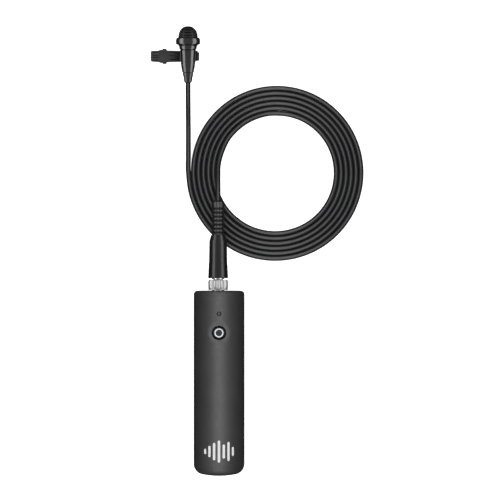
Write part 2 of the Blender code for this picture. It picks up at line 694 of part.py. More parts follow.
def make_cradle():
    """The split ring that grips the microphone, open towards +Z, on its pedestal."""
    half_width = 2.35 * MM
    middle = CLIP_Y - MIC_Y
    profile = [(4.55 * MM, middle + half_width), (4.55 * MM, middle - half_width),
               (3.68 * MM, middle - half_width), (3.98 * MM, middle + half_width)]
    ring = turned("cradle", profile, MIC_AXIS, 32)
    rise = 8 * MM
    spread = 5.28 * MM
    wedge = plate("wedge", [(MIC_X, MIC_Z + 0.4 * MM), (MIC_X + spread, MIC_Z + rise),
                            (MIC_X - spread, MIC_Z + rise)], 8 * MM,
                  Matrix.Translation((0, CLIP_Y, 0)) @ Matrix.Rotation(pi / 2, 4, "X"))
    cut(ring, wedge)
    pedestal = block("pedestal", (MIC_X - 1.9 * MM, CLIP_Y - 2.2 * MM, 3.6 * MM),
                     (MIC_X + 1.9 * MM, CLIP_Y + 2.2 * MM, 4.95 * MM))
    return join(ring, pedestal)


def make_front_jaw():
    side = [(0.0, 6.2), (3.6, 4.95), (9.0, 4.45), (14.0, 3.45), (22.93, 2.3), (22.93, 3.4),
            (14.0, 4.65), (9.0, 5.65), (3.6, 6.15), (0.0, 7.4)]
    jaw = clip_side("clip_front_jaw", side, 10 * MM)
    combine(jaw, clip_plan("plan"), "INTERSECT")
    for y in (-2.5 * MM, 2.5 * MM):
        join(jaw, ear("front_ear", y, PIVOT_Z, 5.0 * MM))
    join(jaw, make_cradle())
    # Each groove: its side outline, its width and its place across the jaw
    long_groove = [(0.4, 6.95), (4.4, 5.9), (4.4, 9), (0.4, 9)]
    short_groove = [(8.6, 4.85), (13.0, 4.7), (13.0, 9), (8.6, 9)]
    for side, width, y in ((long_groove, 0.45, 1.0), (long_groove, 0.45, -1.0), (short_groove, 0.6, 0.0)):
        cut(jaw, clip_side("groove", side, width * MM, y * MM))
    finish(cut(jaw, pin_hole("pin_hole")), "black_shell")


def make_rear_jaw():
    side = [(0.0, 0.0), (22.93, 0.0), (22.93, 2.0), (22.4, 2.0), (22.1, 1.5), (21.8, 2.0), (21.3, 2.0),
            (21.0, 1.3), (0.0, 1.3)]
    jaw = clip_side("clip_rear_jaw", side, 10 * MM)
    combine(jaw, clip_plan("plan"), "INTERSECT")
    for y in (-1.65 * MM, 1.65 * MM):
        join(jaw, ear("rear_ear", y, 1.0 * MM, PIVOT_Z))
    finish(cut(jaw, pin_hole("pin_hole")), "black_shell")


def make_pivot():
    centre = Vector((PIVOT_X, CLIP_Y, PIVOT_Z))
    reach = Vector((0, 3.6 * MM, 0))
    inner = Vector((0, 3.0 * MM, 0))
    pin = rod("clip_pivot_pin", PIN_R, centre - reach, centre + reach, 20)
    for sign in (-1, 1):
        join(pin, rod("head", 0.95 * MM, centre + inner * sign, centre + reach * sign, 20))
    finish(pin, "black_metal")
    make_spring()


def make_spring():
    """A torsion spring wound on the pin, with a leg to each lever."""
    wire_r = 0.17 * MM
    coil_r = 0.98 * MM
    turns = 3.5
    half = 0.95 * MM
    route = [(PIVOT_X - 4.6 * MM, CLIP_Y - half, PIVOT_Z + 1.05 * MM),
             (PIVOT_X - 2.0 * MM, CLIP_Y - half, PIVOT_Z + 1.0 * MM)]
    steps = int(turns * 12)
    for index in range(steps + 1):
        angle = pi / 2 - 2 * pi * turns * index / steps
        y = CLIP_Y - half + 2 * half * index / steps
        route.append((PIVOT_X + coil_r * cos(angle), y, PIVOT_Z + coil_r * sin(angle)))
    route += [(PIVOT_X - 2.0 * MM, CLIP_Y + half, PIVOT_Z - 1.05 * MM),
              (PIVOT_X - 4.6 * MM, CLIP_Y + half, PIVOT_Z - 1.2 * MM)]
    finish(tube("clip_spring", route, wire_r, 0.55 * MM, 1), "steel")


make_housing()
make_top_cap()
make_jack()
make_button()
make_status_light()
make_boards()
make_pcb_screws()
make_tray()
make_battery()
make_usb()
make_lock_nut()
make_plug_contacts()
make_plug_handle()
make_plug_boot()
make_cord()
make_windscreen()
make_mic_head()
make_mic_body()
make_front_jaw()
make_rear_jaw()
make_pivot()
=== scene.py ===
"""Looks of the lavalier microphone set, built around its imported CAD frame.

The set lies flat on a table at z = 0: a pocket transmitter at the front, a locking plug, a coiled cord
and, beyond the coil, the microphone in its tie clip. Lengths are in metres; profiles, routes and tables of
sizes are written in millimetres and turned into metres by MM.
"""

import json
from math import atan2, cos, pi, radians, sin, sqrt

import bmesh
import bpy
from mathutils import Matrix, Vector

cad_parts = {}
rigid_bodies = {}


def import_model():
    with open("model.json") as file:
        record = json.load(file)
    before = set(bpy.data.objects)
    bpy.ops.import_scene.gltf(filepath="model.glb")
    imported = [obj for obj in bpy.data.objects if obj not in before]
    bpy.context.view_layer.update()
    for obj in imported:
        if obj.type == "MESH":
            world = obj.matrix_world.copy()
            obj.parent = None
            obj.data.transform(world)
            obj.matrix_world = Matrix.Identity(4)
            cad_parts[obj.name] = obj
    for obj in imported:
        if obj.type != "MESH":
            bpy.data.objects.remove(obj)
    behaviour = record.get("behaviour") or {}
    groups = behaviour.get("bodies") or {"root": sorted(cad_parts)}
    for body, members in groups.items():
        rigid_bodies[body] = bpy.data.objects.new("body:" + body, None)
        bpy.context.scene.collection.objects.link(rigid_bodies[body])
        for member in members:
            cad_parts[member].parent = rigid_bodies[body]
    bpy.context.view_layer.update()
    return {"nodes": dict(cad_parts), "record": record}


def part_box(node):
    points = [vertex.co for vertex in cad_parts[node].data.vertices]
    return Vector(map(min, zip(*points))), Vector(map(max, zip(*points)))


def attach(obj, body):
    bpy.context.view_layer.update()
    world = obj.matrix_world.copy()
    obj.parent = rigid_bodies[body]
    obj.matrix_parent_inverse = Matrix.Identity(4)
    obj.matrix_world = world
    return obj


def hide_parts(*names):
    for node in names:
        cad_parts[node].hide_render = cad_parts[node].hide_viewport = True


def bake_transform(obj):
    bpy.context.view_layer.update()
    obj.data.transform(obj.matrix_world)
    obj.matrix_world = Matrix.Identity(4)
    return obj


for start_up in list(bpy.data.objects):
    bpy.data.objects.remove(start_up)
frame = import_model()

MM = 0.001
SHARP_ANGLE = radians(32)
WELD = 1e-6
TINY = 1e-9


def middle(node):
    """The middle of a CAD node's box."""
    low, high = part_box(node)
    return (low + high) / 2


# ---------------------------------------------------------------- places, from the frame

HOUSING_LOW, HOUSING_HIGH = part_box("transmitter_housing")
CAP_LOW, CAP_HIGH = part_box("top_cap")
BODY_R = (HOUSING_HIGH.x - HOUSING_LOW.x) / 2
BODY_X = middle("transmitter_housing").x
BODY_Z = middle("transmitter_housing").z
TOP_Y = CAP_HIGH.y
BODY_LENGTH = TOP_Y - HOUSING_LOW.y
RIM_H = HOUSING_HIGH.y - TOP_Y
BUTTON = middle("power_button")
LED = middle("status_led_lens")
USB = middle("usb_socket")
MIC_X = middle("microphone_body").x
MIC_Z = middle("microphone_body").z
CAGE_TIP = 0.2
MIC_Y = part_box("windscreen_cage")[1].y - CAGE_TIP * MM
MIC_EXIT = Vector((MIC_X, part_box("microphone_boot")[0].y, MIC_Z))
PLUG_X = middle("plug_boot").x
PLUG_LENGTH = 42.18 * MM
PLUG_TOP_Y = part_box("plug_boot")[1].y
PLUG_FOOT_Y = PLUG_TOP_Y - PLUG_LENGTH
PLUG_EXIT = Vector((PLUG_X, PLUG_TOP_Y, BODY_Z))
PIVOT = middle("clip_pivot_pin")
CLIP_LOW, CLIP_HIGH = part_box("clip_rear_jaw")
CLIP_Y = (CLIP_LOW.y + CLIP_HIGH.y) / 2

VIEW_CENTRE = Vector((24.8, 0.41, 0.0)) * MM
VIEW_WIDTH = 236.2 * MM
LENS = 400.0
SENSOR = 36.0

CORD_R = 1.19 * MM
CORD_PITCH = 2.36 * MM
COIL_TURNS = 6
COIL_START_R = 41.55 * MM
INNER_STRAND_X = BODY_X - 0.47 * MM
COIL_X = INNER_STRAND_X + COIL_START_R - COIL_TURNS * CORD_PITCH
COIL_Y = TOP_Y + 56.14 * MM
COIL_Z = CORD_R


# ---------------------------------------------------------------- helpers

def add_object(name, data, location=(0, 0, 0), along_y=False):
    """A new object; along_y lays its local +Z along the world's +Y."""
    obj = bpy.data.objects.new(name, data)
    bpy.context.scene.collection.objects.link(obj)
    obj.location = location
    if along_y:
        obj.rotation_euler = (-pi / 2, 0, 0)
    bpy.context.view_layer.update()
    return obj


def keep_shape(obj):
    """Replace an object's modifiers by the mesh that they give."""
    bpy.context.view_layer.update()
    graph = bpy.context.evaluated_depsgraph_get()
    mesh = bpy.data.meshes.new_from_object(obj.evaluated_get(graph))
    obj.modifiers.clear()
    obj.data = mesh
    return obj


def smooth(obj, angle=SHARP_ANGLE):
    """Shade smooth, with sharp edges where faces meet at more than the angle."""
    obj.data.shade_smooth()
    obj.data.set_sharp_from_angle(angle=angle)
    return obj


def bevel(obj, width, segments=3, angle=30):
    """Round the edges that turn by more than the angle in degrees."""
    rounding = obj.modifiers.new("Bevel", "BEVEL")
    rounding.width = width
    rounding.segments = segments
    rounding.limit_method = "ANGLE"
    rounding.angle_limit = radians(angle)
    rounding.harden_normals = False
    return keep_shape(obj)


def combine(obj, other, operation):
    """Join, cut or trim obj with other, which is used up."""
    modifier = obj.modifiers.new(operation.title(), "BOOLEAN")
    modifier.operation = operation
    modifier.object = other
    modifier.solver = "EXACT"
    keep_shape(obj)
    bpy.data.objects.remove(other)
    return obj


def mesh_object(name, build, location=(0, 0, 0), along_y=False):
    """An object whose mesh is made by build, a function that fills a bmesh."""
    mesh = bpy.data.meshes.new(name)
    shape = bmesh.new()
    build(shape)
    bmesh.ops.remove_doubles(shape, verts=shape.verts, dist=WELD)
    bmesh.ops.recalc_face_normals(shape, faces=shape.faces)
    shape.to_mesh(mesh)
    shape.free()
    return add_object(name, mesh, location, along_y)


def bridge(shape, upper, lower, is_open=None):
    """Join two rings of vertices by faces, except at an index where is_open says so.

    A ring can be one vertex, repeated: then the faces are triangles.
    """
    for index in range(len(upper)):
        if is_open and is_open(index):
            continue
        after = (index + 1) % len(upper)
        corners = [upper[index], lower[index], lower[after], upper[after]]
        corners = [vert for place, vert in enumerate(corners) if vert not in corners[:place]]
        if len(corners) > 2:
            shape.faces.new(corners)


def arc(centre, radius, start, end, count):
    """Points on a circular arc, in profile coordinates, from start to end degrees."""
    points = []
    for index in range(count + 1):
        angle = radians(start + (end - start) * index / count)
        points.append((centre[0] + radius * cos(angle), centre[1] + radius * sin(angle)))
    return points


def rounded(profile, radius, closed, steps=3):
    """The profile with its corners rounded by about radius, where they turn by more than 15 degrees."""
    count = len(profile)
    straight = radians(165)
    most = 0.45
    points = []
    for index, corner in enumerate(profile):
        ends = not closed and index in (0, count - 1)
        here = Vector(corner)
        before = Vector(profile[index - 1])
        after = Vector(profile[(index + 1) % count])
        into = before - here
        out = after - here
        if ends or into.length < TINY or out.length < TINY or into.angle(out) > straight:
            points.append(corner)
            continue
        reach = min(radius, into.length * most, out.length * most)
        start = here + into.normalized() * reach
        end = here + out.normalized() * reach
        for step in range(steps + 1):
            t = step / steps
            points.append(tuple((1 - t) ** 2 * start + 2 * t * (1 - t) * here + t ** 2 * end))
    return points


def turned(name, profile, location, along_y=True, steps=96, edge=0.0):
    """Turn a profile of (radius, height), running down its outer side, about its own axis.

    Both ends on the axis make a solid; otherwise the profile is closed into a ring.
    """
    closed = profile[0][0] > 0 and profile[-1][0] > 0
    if edge:
        profile = rounded(profile, edge, closed)

    def build(shape):
        rows = []
        for radius, height in profile:
            if radius < TINY:
                rows.append([shape.verts.new((0, 0, height))] * steps)
                continue
            ring = []
            for index in range(steps):
                angle = 2 * pi * index / steps
                ring.append(shape.verts.new((radius * cos(angle), radius * sin(angle), height)))
            rows.append(ring)
        pairs = list(zip(rows, rows[1:]))
        if closed:
            pairs.append((rows[-1], rows[0]))
        for upper, lower in pairs:
            bridge(shape, upper, lower)

    return smooth(mesh_object(name, build, location, along_y))


def box(name, low, high, edge=0.0, segments=3):
    """A block between two corners, its edges rounded by edge."""
    low = Vector(low)
    high = Vector(high)

    def build(shape):
        bmesh.ops.create_cube(shape, size=1.0)
        bmesh.ops.scale(shape, vec=high - low, verts=shape.verts)
        bmesh.ops.translate(shape, vec=(low + high) / 2, verts=shape.verts)

    obj = mesh_object(name, build)
    if edge:
        bevel(obj, edge, segments)
    return smooth(obj)


def rod(name, radius, start, end, sides=48):
    """A round bar between two points."""
    start = Vector(start)
    end = Vector(end)
    direction = end - start
    place = Matrix.Translation((start + end) / 2) @ direction.to_track_quat("Z", "Y").to_matrix().to_4x4()

    def build(shape):
        bmesh.ops.create_cone(shape, cap_ends=True, segments=sides, radius1=radius, radius2=radius,
                              depth=direction.length, matrix=place)

    return smooth(mesh_object(name, build))


def extruded(name, outline, thickness, place):
    """A flat outline of (across, up) points, thickness deep, with its middle plane at place."""
    def build(shape):
        verts = [shape.verts.new((x, y, -thickness / 2)) for x, y in outline]
        face = shape.faces.new(verts)
        grown = bmesh.ops.extrude_face_region(shape, geom=[face])
        moved = [item for item in grown["geom"] if isinstance(item, bmesh.types.BMVert)]
        bmesh.ops.translate(shape, vec=(0, 0, thickness), verts=moved)

    obj = mesh_object(name, build)
    obj.data.transform(place)
    return obj


def mm(points):
    """Points given in millimetres, in metres."""
    return [(first * MM, second * MM) for first, second in points]


def smooth_route(route, spacing):
    """Evenly spaced points on a smooth curve through the route's own points."""
    points = [Vector(point) for point in route]
    points = [2 * points[0] - points[1]] + points + [2 * points[-1] - points[-2]]
    dense = []
    fine_steps = 12
    for index in range(1, len(points) - 2):
        before, start, end, after = points[index - 1:index + 3]
        for step in range(fine_steps):
            t = step / fine_steps
            dense.append(0.5 * (2 * start + (end - before) * t
                                + (2 * before - 5 * start + 4 * end - after) * t ** 2
                                + (3 * start - before - 3 * end + after) * t ** 3))
    dense.append(points[-2])
    lengths = [0.0]
    for first, second in zip(dense, dense[1:]):
        lengths.append(lengths[-1] + (second - first).length)
    count = max(2, round(lengths[-1] / spacing))
    even = []
    index = 0
    for step in range(count + 1):
        target = lengths[-1] * step / count
        while index < len(lengths) - 2 and lengths[index + 1] < target:
            index += 1
        span = max(lengths[index + 1] - lengths[index], 1e-12)
        even.append(dense[index].lerp(dense[index + 1], min(1.0, (target - lengths[index]) / span)))
    return even


def wire(name, points, radius, resolution=10):
    """A curve of one open spline through the points, with a round section."""
    curve = bpy.data.curves.new(name, "CURVE")
    curve.dimensions = "3D"
    curve.bevel_depth = radius
    curve.bevel_resolution = resolution
    curve.use_fill_caps = True
    spline = curve.splines.new("POLY")
    spline.points.add(len(points) - 1)
    for point, place in zip(spline.points, points):
        point.co = (*place, 1)
    spline.use_smooth = True
    return add_object(name, curve)


# ---------------------------------------------------------------- materials

class Nodes:
    """A material's node tree, with short calls for the nodes that the looks share."""

    def __init__(self, name, colour, roughness, metallic=0.0):
        self.material = bpy.data.materials.new(name)
        self.material.use_nodes = True
        self.tree = self.material.node_tree
        self.shader = self.tree.nodes["Principled BSDF"]
        self.shader.inputs["Base Color"].default_value = (*colour, 1)
        self.shader.inputs["Roughness"].default_value = roughness
        self.shader.inputs["Metallic"].default_value = metallic
        self.place = self.add("ShaderNodeTexCoord").outputs["Object"]

    def add(self, kind, **settings):
        node = self.tree.nodes.new(kind)
        for key, value in settings.items():
            if hasattr(node, key):
                setattr(node, key, value)
            else:
                node.inputs[key].default_value = value
        return node

    def link(self, output, target):
        self.tree.links.new(output, target)

    def noise(self, scale, detail=3.0, stretch=None):
        node = self.add("ShaderNodeTexNoise", Scale=scale, Detail=detail)
        source = self.place
        if stretch:
            mapping = self.add("ShaderNodeMapping", Scale=stretch)
            self.link(source, mapping.inputs["Vector"])
            source = mapping.outputs["Vector"]
        self.link(source, node.inputs["Vector"])
        return node.outputs["Fac"]

    def spread(self, value, low, high):
        node = self.add("ShaderNodeMapRange")
        node.inputs["From Min"].default_value = 0.3
        node.inputs["From Max"].default_value = 0.7
        node.inputs["To Min"].default_value = low
        node.inputs["To Max"].default_value = high
        self.link(value, node.inputs["Value"])
        return node.outputs["Result"]

    def tint(self, value, dark, light):
        node = self.add("ShaderNodeMix", data_type="RGBA")
        self.link(value, node.inputs["Factor"])
        node.inputs[6].default_value = (*dark, 1)
        node.inputs[7].default_value = (*light, 1)
        self.link(node.outputs[2], self.shader.inputs["Base Color"])

    def bump(self, height, strength, distance):
        node = self.add("ShaderNodeBump", Strength=strength, Distance=distance)
        self.link(height, node.inputs["Height"])
        last = getattr(self, "last_bump", None)
        if last:
            self.link(last, node.inputs["Normal"])
        self.last_bump = node.outputs["Normal"]
        self.link(self.last_bump, self.shader.inputs["Normal"])


SHADE_SCALE = 90
ROUGHNESS_SCALE = 420
ROUGHNESS_DRIFT = 0.04
PLATING_SCALE = 260
MARKS_SCALE = 2600
MARKS_DEPTH = 0.00001


def moulded(name, dark, light, rough, grain, depth, specular=0.5):
    """Moulded plastic or rubber: fine grain, and roughness and shade that drift a little."""
    look = Nodes(name, light, rough)
    look.shader.inputs["Specular IOR Level"].default_value = specular
    look.tint(look.spread(look.noise(SHADE_SCALE, 4), 0, 1), dark, light)
    drift = look.spread(look.noise(ROUGHNESS_SCALE, 5), rough - ROUGHNESS_DRIFT, rough + ROUGHNESS_DRIFT)
    look.link(drift, look.shader.inputs["Roughness"])
    look.bump(look.noise(1 / grain, 2), 0.35, depth)
    return look.material


def metal(name, dark, light, rough, streak, metallic=1.0):
    """Plated or machined metal with fine turning marks along streak."""
    look = Nodes(name, light, rough, metallic)
    look.tint(look.spread(look.noise(PLATING_SCALE, 4), 0, 1), dark, light)
    marks = look.noise(MARKS_SCALE, 3, streak)
    look.link(look.spread(marks, rough - 0.05, rough + 0.08), look.shader.inputs["Roughness"])
    look.bump(marks, 0.25, MARKS_DEPTH)
    return look.material


GLOSS_BLACK = ((0.006, 0.006, 0.007), (0.009, 0.009, 0.010))
SATIN_BLACK = ((0.008, 0.008, 0.009), (0.013, 0.013, 0.014))

LOOKS = {
    "shell": moulded("satin_black_shell", (0.010, 0.010, 0.011), (0.014, 0.014, 0.015),
                     0.58, 0.00016, 0.00002),
    "grip": moulded("grip_black", *GLOSS_BLACK, 0.25, 0.0004, 0.000004),
    "boot": moulded("boot_rubber_black", (0.007, 0.007, 0.007), (0.010, 0.010, 0.010),
                    0.3, 0.0003, 0.000006),
    "barrel": moulded("barrel_black", *GLOSS_BLACK, 0.2, 0.0004, 0.000004, 0.7),
    "gloss": moulded("gloss_black", *GLOSS_BLACK, 0.16, 0.0004, 0.000004, 1.0),
    "cord": moulded("satin_cord_jacket", (0.007, 0.007, 0.008), (0.011, 0.011, 0.012),
                    0.36, 0.00025, 0.000012),
    "rubber": moulded("moulded_rubber", (0.006, 0.006, 0.006), (0.011, 0.011, 0.011), 0.5, 0.0002, 0.00002),
    "clip": moulded("clip_black", *SATIN_BLACK, 0.42, 0.0002, 0.000012, 0.65),
    "cage": moulded("cage_black", *SATIN_BLACK, 0.5, 0.0002, 0.000012, 0.35),
    "white": moulded("frosted_white", (0.76, 0.77, 0.79), (0.84, 0.85, 0.87), 0.4, 0.0003, 0.000006),
    "print": moulded("white_print", (0.56, 0.56, 0.56), (0.60, 0.60, 0.60), 0.45, 0.0002, 0.000004),
    "window": moulded("status_window_black", (0.008, 0.009, 0.009), (0.012, 0.013, 0.013),
                      0.45, 0.0005, 0.000003, 0.25),
    "lens": moulded("smoked_lens", (0.010, 0.012, 0.012), (0.018, 0.02, 0.02), 0.12, 0.0005, 0.000003),
    "board": moulded("solder_resist", (0.008, 0.07, 0.03), (0.015, 0.12, 0.055), 0.35, 0.0003, 0.00001),
    "chip": moulded("chip_black", (0.012, 0.012, 0.013), (0.022, 0.022, 0.024), 0.5, 0.00015, 0.00001),
    "grey": moulded("grey_nylon", (0.10, 0.10, 0.105), (0.15, 0.15, 0.155), 0.5, 0.0002, 0.00002),
    "foam": moulded("open_foam", (0.004, 0.004, 0.004), (0.016, 0.016, 0.016), 0.9, 0.00035, 0.0002),
    "wrap": moulded("cell_wrap", (0.02, 0.08, 0.28), (0.035, 0.12, 0.38), 0.32, 0.0004, 0.000006),
    "red": moulded("red_insulation", (0.32, 0.012, 0.012), (0.45, 0.02, 0.02), 0.4, 0.0003, 0.00001),
    "nickel": metal("nickel_plate", (0.60, 0.585, 0.555), (0.74, 0.725, 0.70), 0.2, (1, 14, 1)),
    "satin_nickel": metal("satin_nickel", (0.42, 0.42, 0.425), (0.54, 0.54, 0.545), 0.34, (1, 14, 1), 0.6),
    "brass": metal("gold_brass", (0.58, 0.40, 0.14), (0.78, 0.58, 0.26), 0.24, (1, 14, 1)),
    "steel": metal("plain_steel", (0.36, 0.36, 0.375), (0.52, 0.52, 0.535), 0.3, (12, 1, 1)),
}


def dress(obj, look, body, slot, *nodes):
    """Give a finished piece its material and its body, and hide the nodes it stands for; slot is not used."""
    obj.data.materials.clear()
    obj.data.materials.append(LOOKS[look])
    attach(obj, body)
    if nodes:
        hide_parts(*nodes)
    return obj


# ---------------------------------------------------------------- camera

def make_camera():
    """A long lens straight above the set, as wide as the view at the height of the transmitter's axis."""
    camera = bpy.data.cameras.new("camera")
    camera.lens = LENS
    camera.sensor_width = SENSOR
    camera.clip_end = 50
    height = VIEW_WIDTH * LENS / SENSOR + BODY_Z
    bpy.context.scene.camera = add_object("camera", camera, VIEW_CENTRE + Vector((0, 0, height)))


# ---------------------------------------------------------------- cord

# The lead runs from the microphone to the coil, and the tail from the plug to the coil.
MIC_LEAD_ROUTE = [
    (-4.50, 79.15, 9.00), (-4.50, 76.00, 8.95), (-4.47, 71.00, 7.85), (-4.46, 65.00, 5.20),
    (-4.44, 59.50, 2.75), (-4.43, 55.00, 1.60), (-4.44, 51.40, 1.30)]
PLUG_TAIL_ROUTE = [
    (9.70, 24.09, 12.00), (9.70, 26.96, 11.95), (9.68, 30.96, 11.20), (9.66, 35.46, 9.40),
    (9.80, 40.46, 7.10), (10.95, 45.46, 5.20), (12.90, 50.46, 4.10), (15.40, 54.56, 3.80)]
COIL_ENTRY = (-4.45, 44.50, 1.19)
COIL_LIFT_ROUTE = [(31.33, 64.67, 1.55), (25.06, 62.40, 2.35), (19.88, 59.06, 3.20)]

# Angles about the coil's centre, in degrees. The turns lie a little slack round SLACK_ANGLE.
COIL_FIRST_ANGLE = 180
COIL_LAST_ANGLE = 360 * COIL_TURNS + 90
COIL_STEP = 15
COIL_SLACK = 0.12 * MM
SLACK_ANGLE = 132
SLACK_REACH = 75
SLACK_FADE = 40
CORD_INSIDE_BOOT = Vector((0, 0.6 * MM, 0))
CORD_SPACING = 1.3 * MM


def slack_share(angle):
    """The share of COIL_SLACK at this angle: it grows turn by turn, towards the coil's inside."""
    away = abs(angle % 360 - SLACK_ANGLE)
    near = min(1, max(0, (SLACK_REACH - away) / SLACK_FADE))
    return near * (angle - COIL_FIRST_ANGLE) / (360 * COIL_TURNS)


def cord_points():
    """The cord's whole centreline, from inside the microphone's boot to inside the plug's."""
    route = [MIC_EXIT + CORD_INSIDE_BOOT]
    route += [Vector(point) * MM for point in MIC_LEAD_ROUTE + [COIL_ENTRY]]
    for angle in range(COIL_FIRST_ANGLE, COIL_LAST_ANGLE + 1, COIL_STEP):
        radius = COIL_START_R - CORD_PITCH * (angle - COIL_FIRST_ANGLE) / 360
        radius -= COIL_SLACK * slack_share(angle)
        turn = radians(angle)
        route.append(Vector((COIL_X + radius * cos(turn), COIL_Y + radius * sin(turn), COIL_Z)))
    route += [Vector(point) * MM for point in COIL_LIFT_ROUTE + PLUG_TAIL_ROUTE[::-1]]
    route.append(PLUG_EXIT - CORD_INSIDE_BOOT)
    return route


def make_cord():
    points = smooth_route(cord_points(), CORD_SPACING)
    cord = wire("microphone_cord", points, CORD_R)
    dress(cord, "cord", "microphone", "cord_jacket", "cord_mic_lead", "cord_coil", "cord_plug_tail")
    return cord


# ---------------------------------------------------------------- transmitter

DOME_R = 40.0 * MM
DOME_CORNER_R = 5.0 * MM
BODY_WALL = 1.4 * MM
DISH_R = 5.5 * MM
DISH_FLAT = 0.55
DISH_DEPTH = 0.42 * MM
BUTTON_HOLE_R = 3.38 * MM
LED_HOLE_R = 1.15 * MM
BUSH_HOLE_R = 3.3 * MM
PORT_WIDTH = 8.2 * MM
PORT_HEIGHT = 3.3 * MM
PORT_CORNER_R = 0.7 * MM
BODY_TOP = (BODY_X, TOP_Y, BODY_Z)
PLUG_TOP = (PLUG_X, PLUG_FOOT_Y, BODY_Z)


def dome_profile(wall):
    """The domed end's outline, offset inwards by wall, from the side to the axis."""
    corner_r = BODY_R - DOME_CORNER_R
    centre_gap = sqrt((DOME_R - DOME_CORNER_R) ** 2 - corner_r ** 2)
    dome_centre = -BODY_LENGTH + DOME_R
    lean = atan2(centre_gap, corner_r) * 180 / pi
    points = arc((corner_r, dome_centre - centre_gap), DOME_CORNER_R - wall, 0, -lean, 14)
    points += arc((0, dome_centre), DOME_R - wall, -lean, -90, 10)[1:-1]
    points.append((0, -BODY_LENGTH + wall))
    return points


def make_housing():
    """The tube with its domed end, the dish round the button, and the holes; rows are fine near them."""
    seam = 0.03 * MM
    skin = 0.2 * MM
    rim = RIM_H + 0.035 * MM
    fine_row = 0.45 * MM
    coarse_row = 2.5 * MM
    margin = 3 * MM
    side_end = dome_profile(0)[0][1]
    button_h = BUTTON.y - TOP_Y
    heights = [rim - seam]
    while heights[-1] > side_end + margin:
        near_button = abs(heights[-1] - button_h) < DISH_R + MM + margin
        near_led = abs(heights[-1] - LED.y + TOP_Y) < margin
        heights.append(heights[-1] - (fine_row if near_button or near_led else coarse_row))
    outer = [(BODY_R - seam, rim)] + [(BODY_R, height) for height in heights] + dome_profile(0)
    inner = [(BODY_R - BODY_WALL, rim)] + dome_profile(BODY_WALL)
    housing = turned("housing_shell", inner[::-1] + outer, BODY_TOP, steps=192)
    into_local = housing.matrix_world.to_3x3().inverted()
    for vert in housing.data.vertices:
        place = housing.matrix_world @ vert.co
        away = (place.xy - BUTTON.xy).length / DISH_R
        on_surface = Vector((place.x - BODY_X, place.z - BODY_Z)).length > BODY_R - skin
        if on_surface and place.z > BODY_Z and away < 1:
            fall = 0.5 + 0.5 * cos(pi * max(0.0, (away - DISH_FLAT) / (1 - DISH_FLAT)))
            vert.co += into_local @ Vector((0, 0, -DISH_DEPTH * fall))
    inside = 8 * MM
    outside = BODY_R + 2 * MM
    for name, centre, radius in (("button_hole", BUTTON, BUTTON_HOLE_R), ("led_hole", LED, LED_HOLE_R)):
        ends = [(centre.x, centre.y, BODY_Z + reach) for reach in (inside, outside)]
        combine(housing, rod(name, radius, *ends, 96), "DIFFERENCE")
    port = box("port", (BODY_X + inside, USB.y - PORT_WIDTH / 2, USB.z - PORT_HEIGHT / 2),
               (BODY_X + outside, USB.y + PORT_WIDTH / 2, USB.z + PORT_HEIGHT / 2), PORT_CORNER_R, 4)
    combine(housing, port, "DIFFERENCE")
    smooth(housing)
    dress(housing, "shell", "transmitter", "black_shell", "transmitter_housing")


def make_cap():
    """The cap that closes the tube, with its skirt and the hole for the jack's bush."""
    edge_r = 1.9 * MM
    low = CAP_LOW.y - TOP_Y
    profile = [(0, 0)] + arc((BODY_R - edge_r, -edge_r), edge_r, 90, 0, 12)
    profile += [(BODY_R, -2.17 * MM), (BODY_R - 0.03 * MM, -2.2 * MM), (10.3 * MM, -2.2 * MM),
                (10.3 * MM, low), (8.8 * MM, low), (8.8 * MM, -1.7 * MM), (0, -1.7 * MM)]
    cap = turned("cap_shell", profile, BODY_TOP, steps=192)
    hole = rod("bush_hole", BUSH_HOLE_R, (PLUG_X, TOP_Y + MM, BODY_Z), (PLUG_X, TOP_Y - 3 * MM, BODY_Z), 96)
    smooth(combine(cap, hole, "DIFFERENCE"))
    dress(cap, "shell", "transmitter", "black_shell", "top_cap")


def make_button():
    """The button's cap, with a flange that keeps it in, and the light ring set in its top."""
    place = (BUTTON.x, BUTTON.y, BODY_Z)
    cap = mm([(0, 11.42), (0.8, 11.44), (1.35, 11.54), (1.44, 11.5), (1.44, 11.0), (2.21, 11.0), (2.21, 11.5),
              (2.28, 11.55), (2.42, 11.52), (3.06, 10.92), (3.1, 10.8), (3.1, 9.4), (3.9, 9.4), (3.9, 8.8),
              (0, 8.8)])
    button = turned("button_cap", cap, place, False, 96, 0.05 * MM)
    dress(button, "gloss", "power_button", "black_shell", "power_button")
    ring = mm([(2.12, 11.56), (2.12, 11.05), (1.53, 11.05), (1.53, 11.56)])
    light = turned("button_ring", ring, place, False, 96, 0.08 * MM)
    dress(light, "white", "power_button", "white_light", "button_light_ring")


def make_status_light():
    """The status light's window, from the shell's surface down to the board."""
    profile = mm([(0, 11.98), (0.5, 11.95), (0.9, 11.85), (1.05, 11.7), (1.05, 9.9), (1.6, 9.9), (1.6, 9.3),
                  (1.0, 9.3), (1.0, 7.4), (0, 7.4)])
    lens = turned("status_window", profile, (LED.x, LED.y, BODY_Z), False, 64)
    dress(lens, "window", "transmitter", "clear_lens", "status_led_lens")


MARK_HEIGHTS = (2.6, 5.4, 8.2, 10.4, 6.6, 9.0, 4.2)
MARK_Y = -75.6 * MM


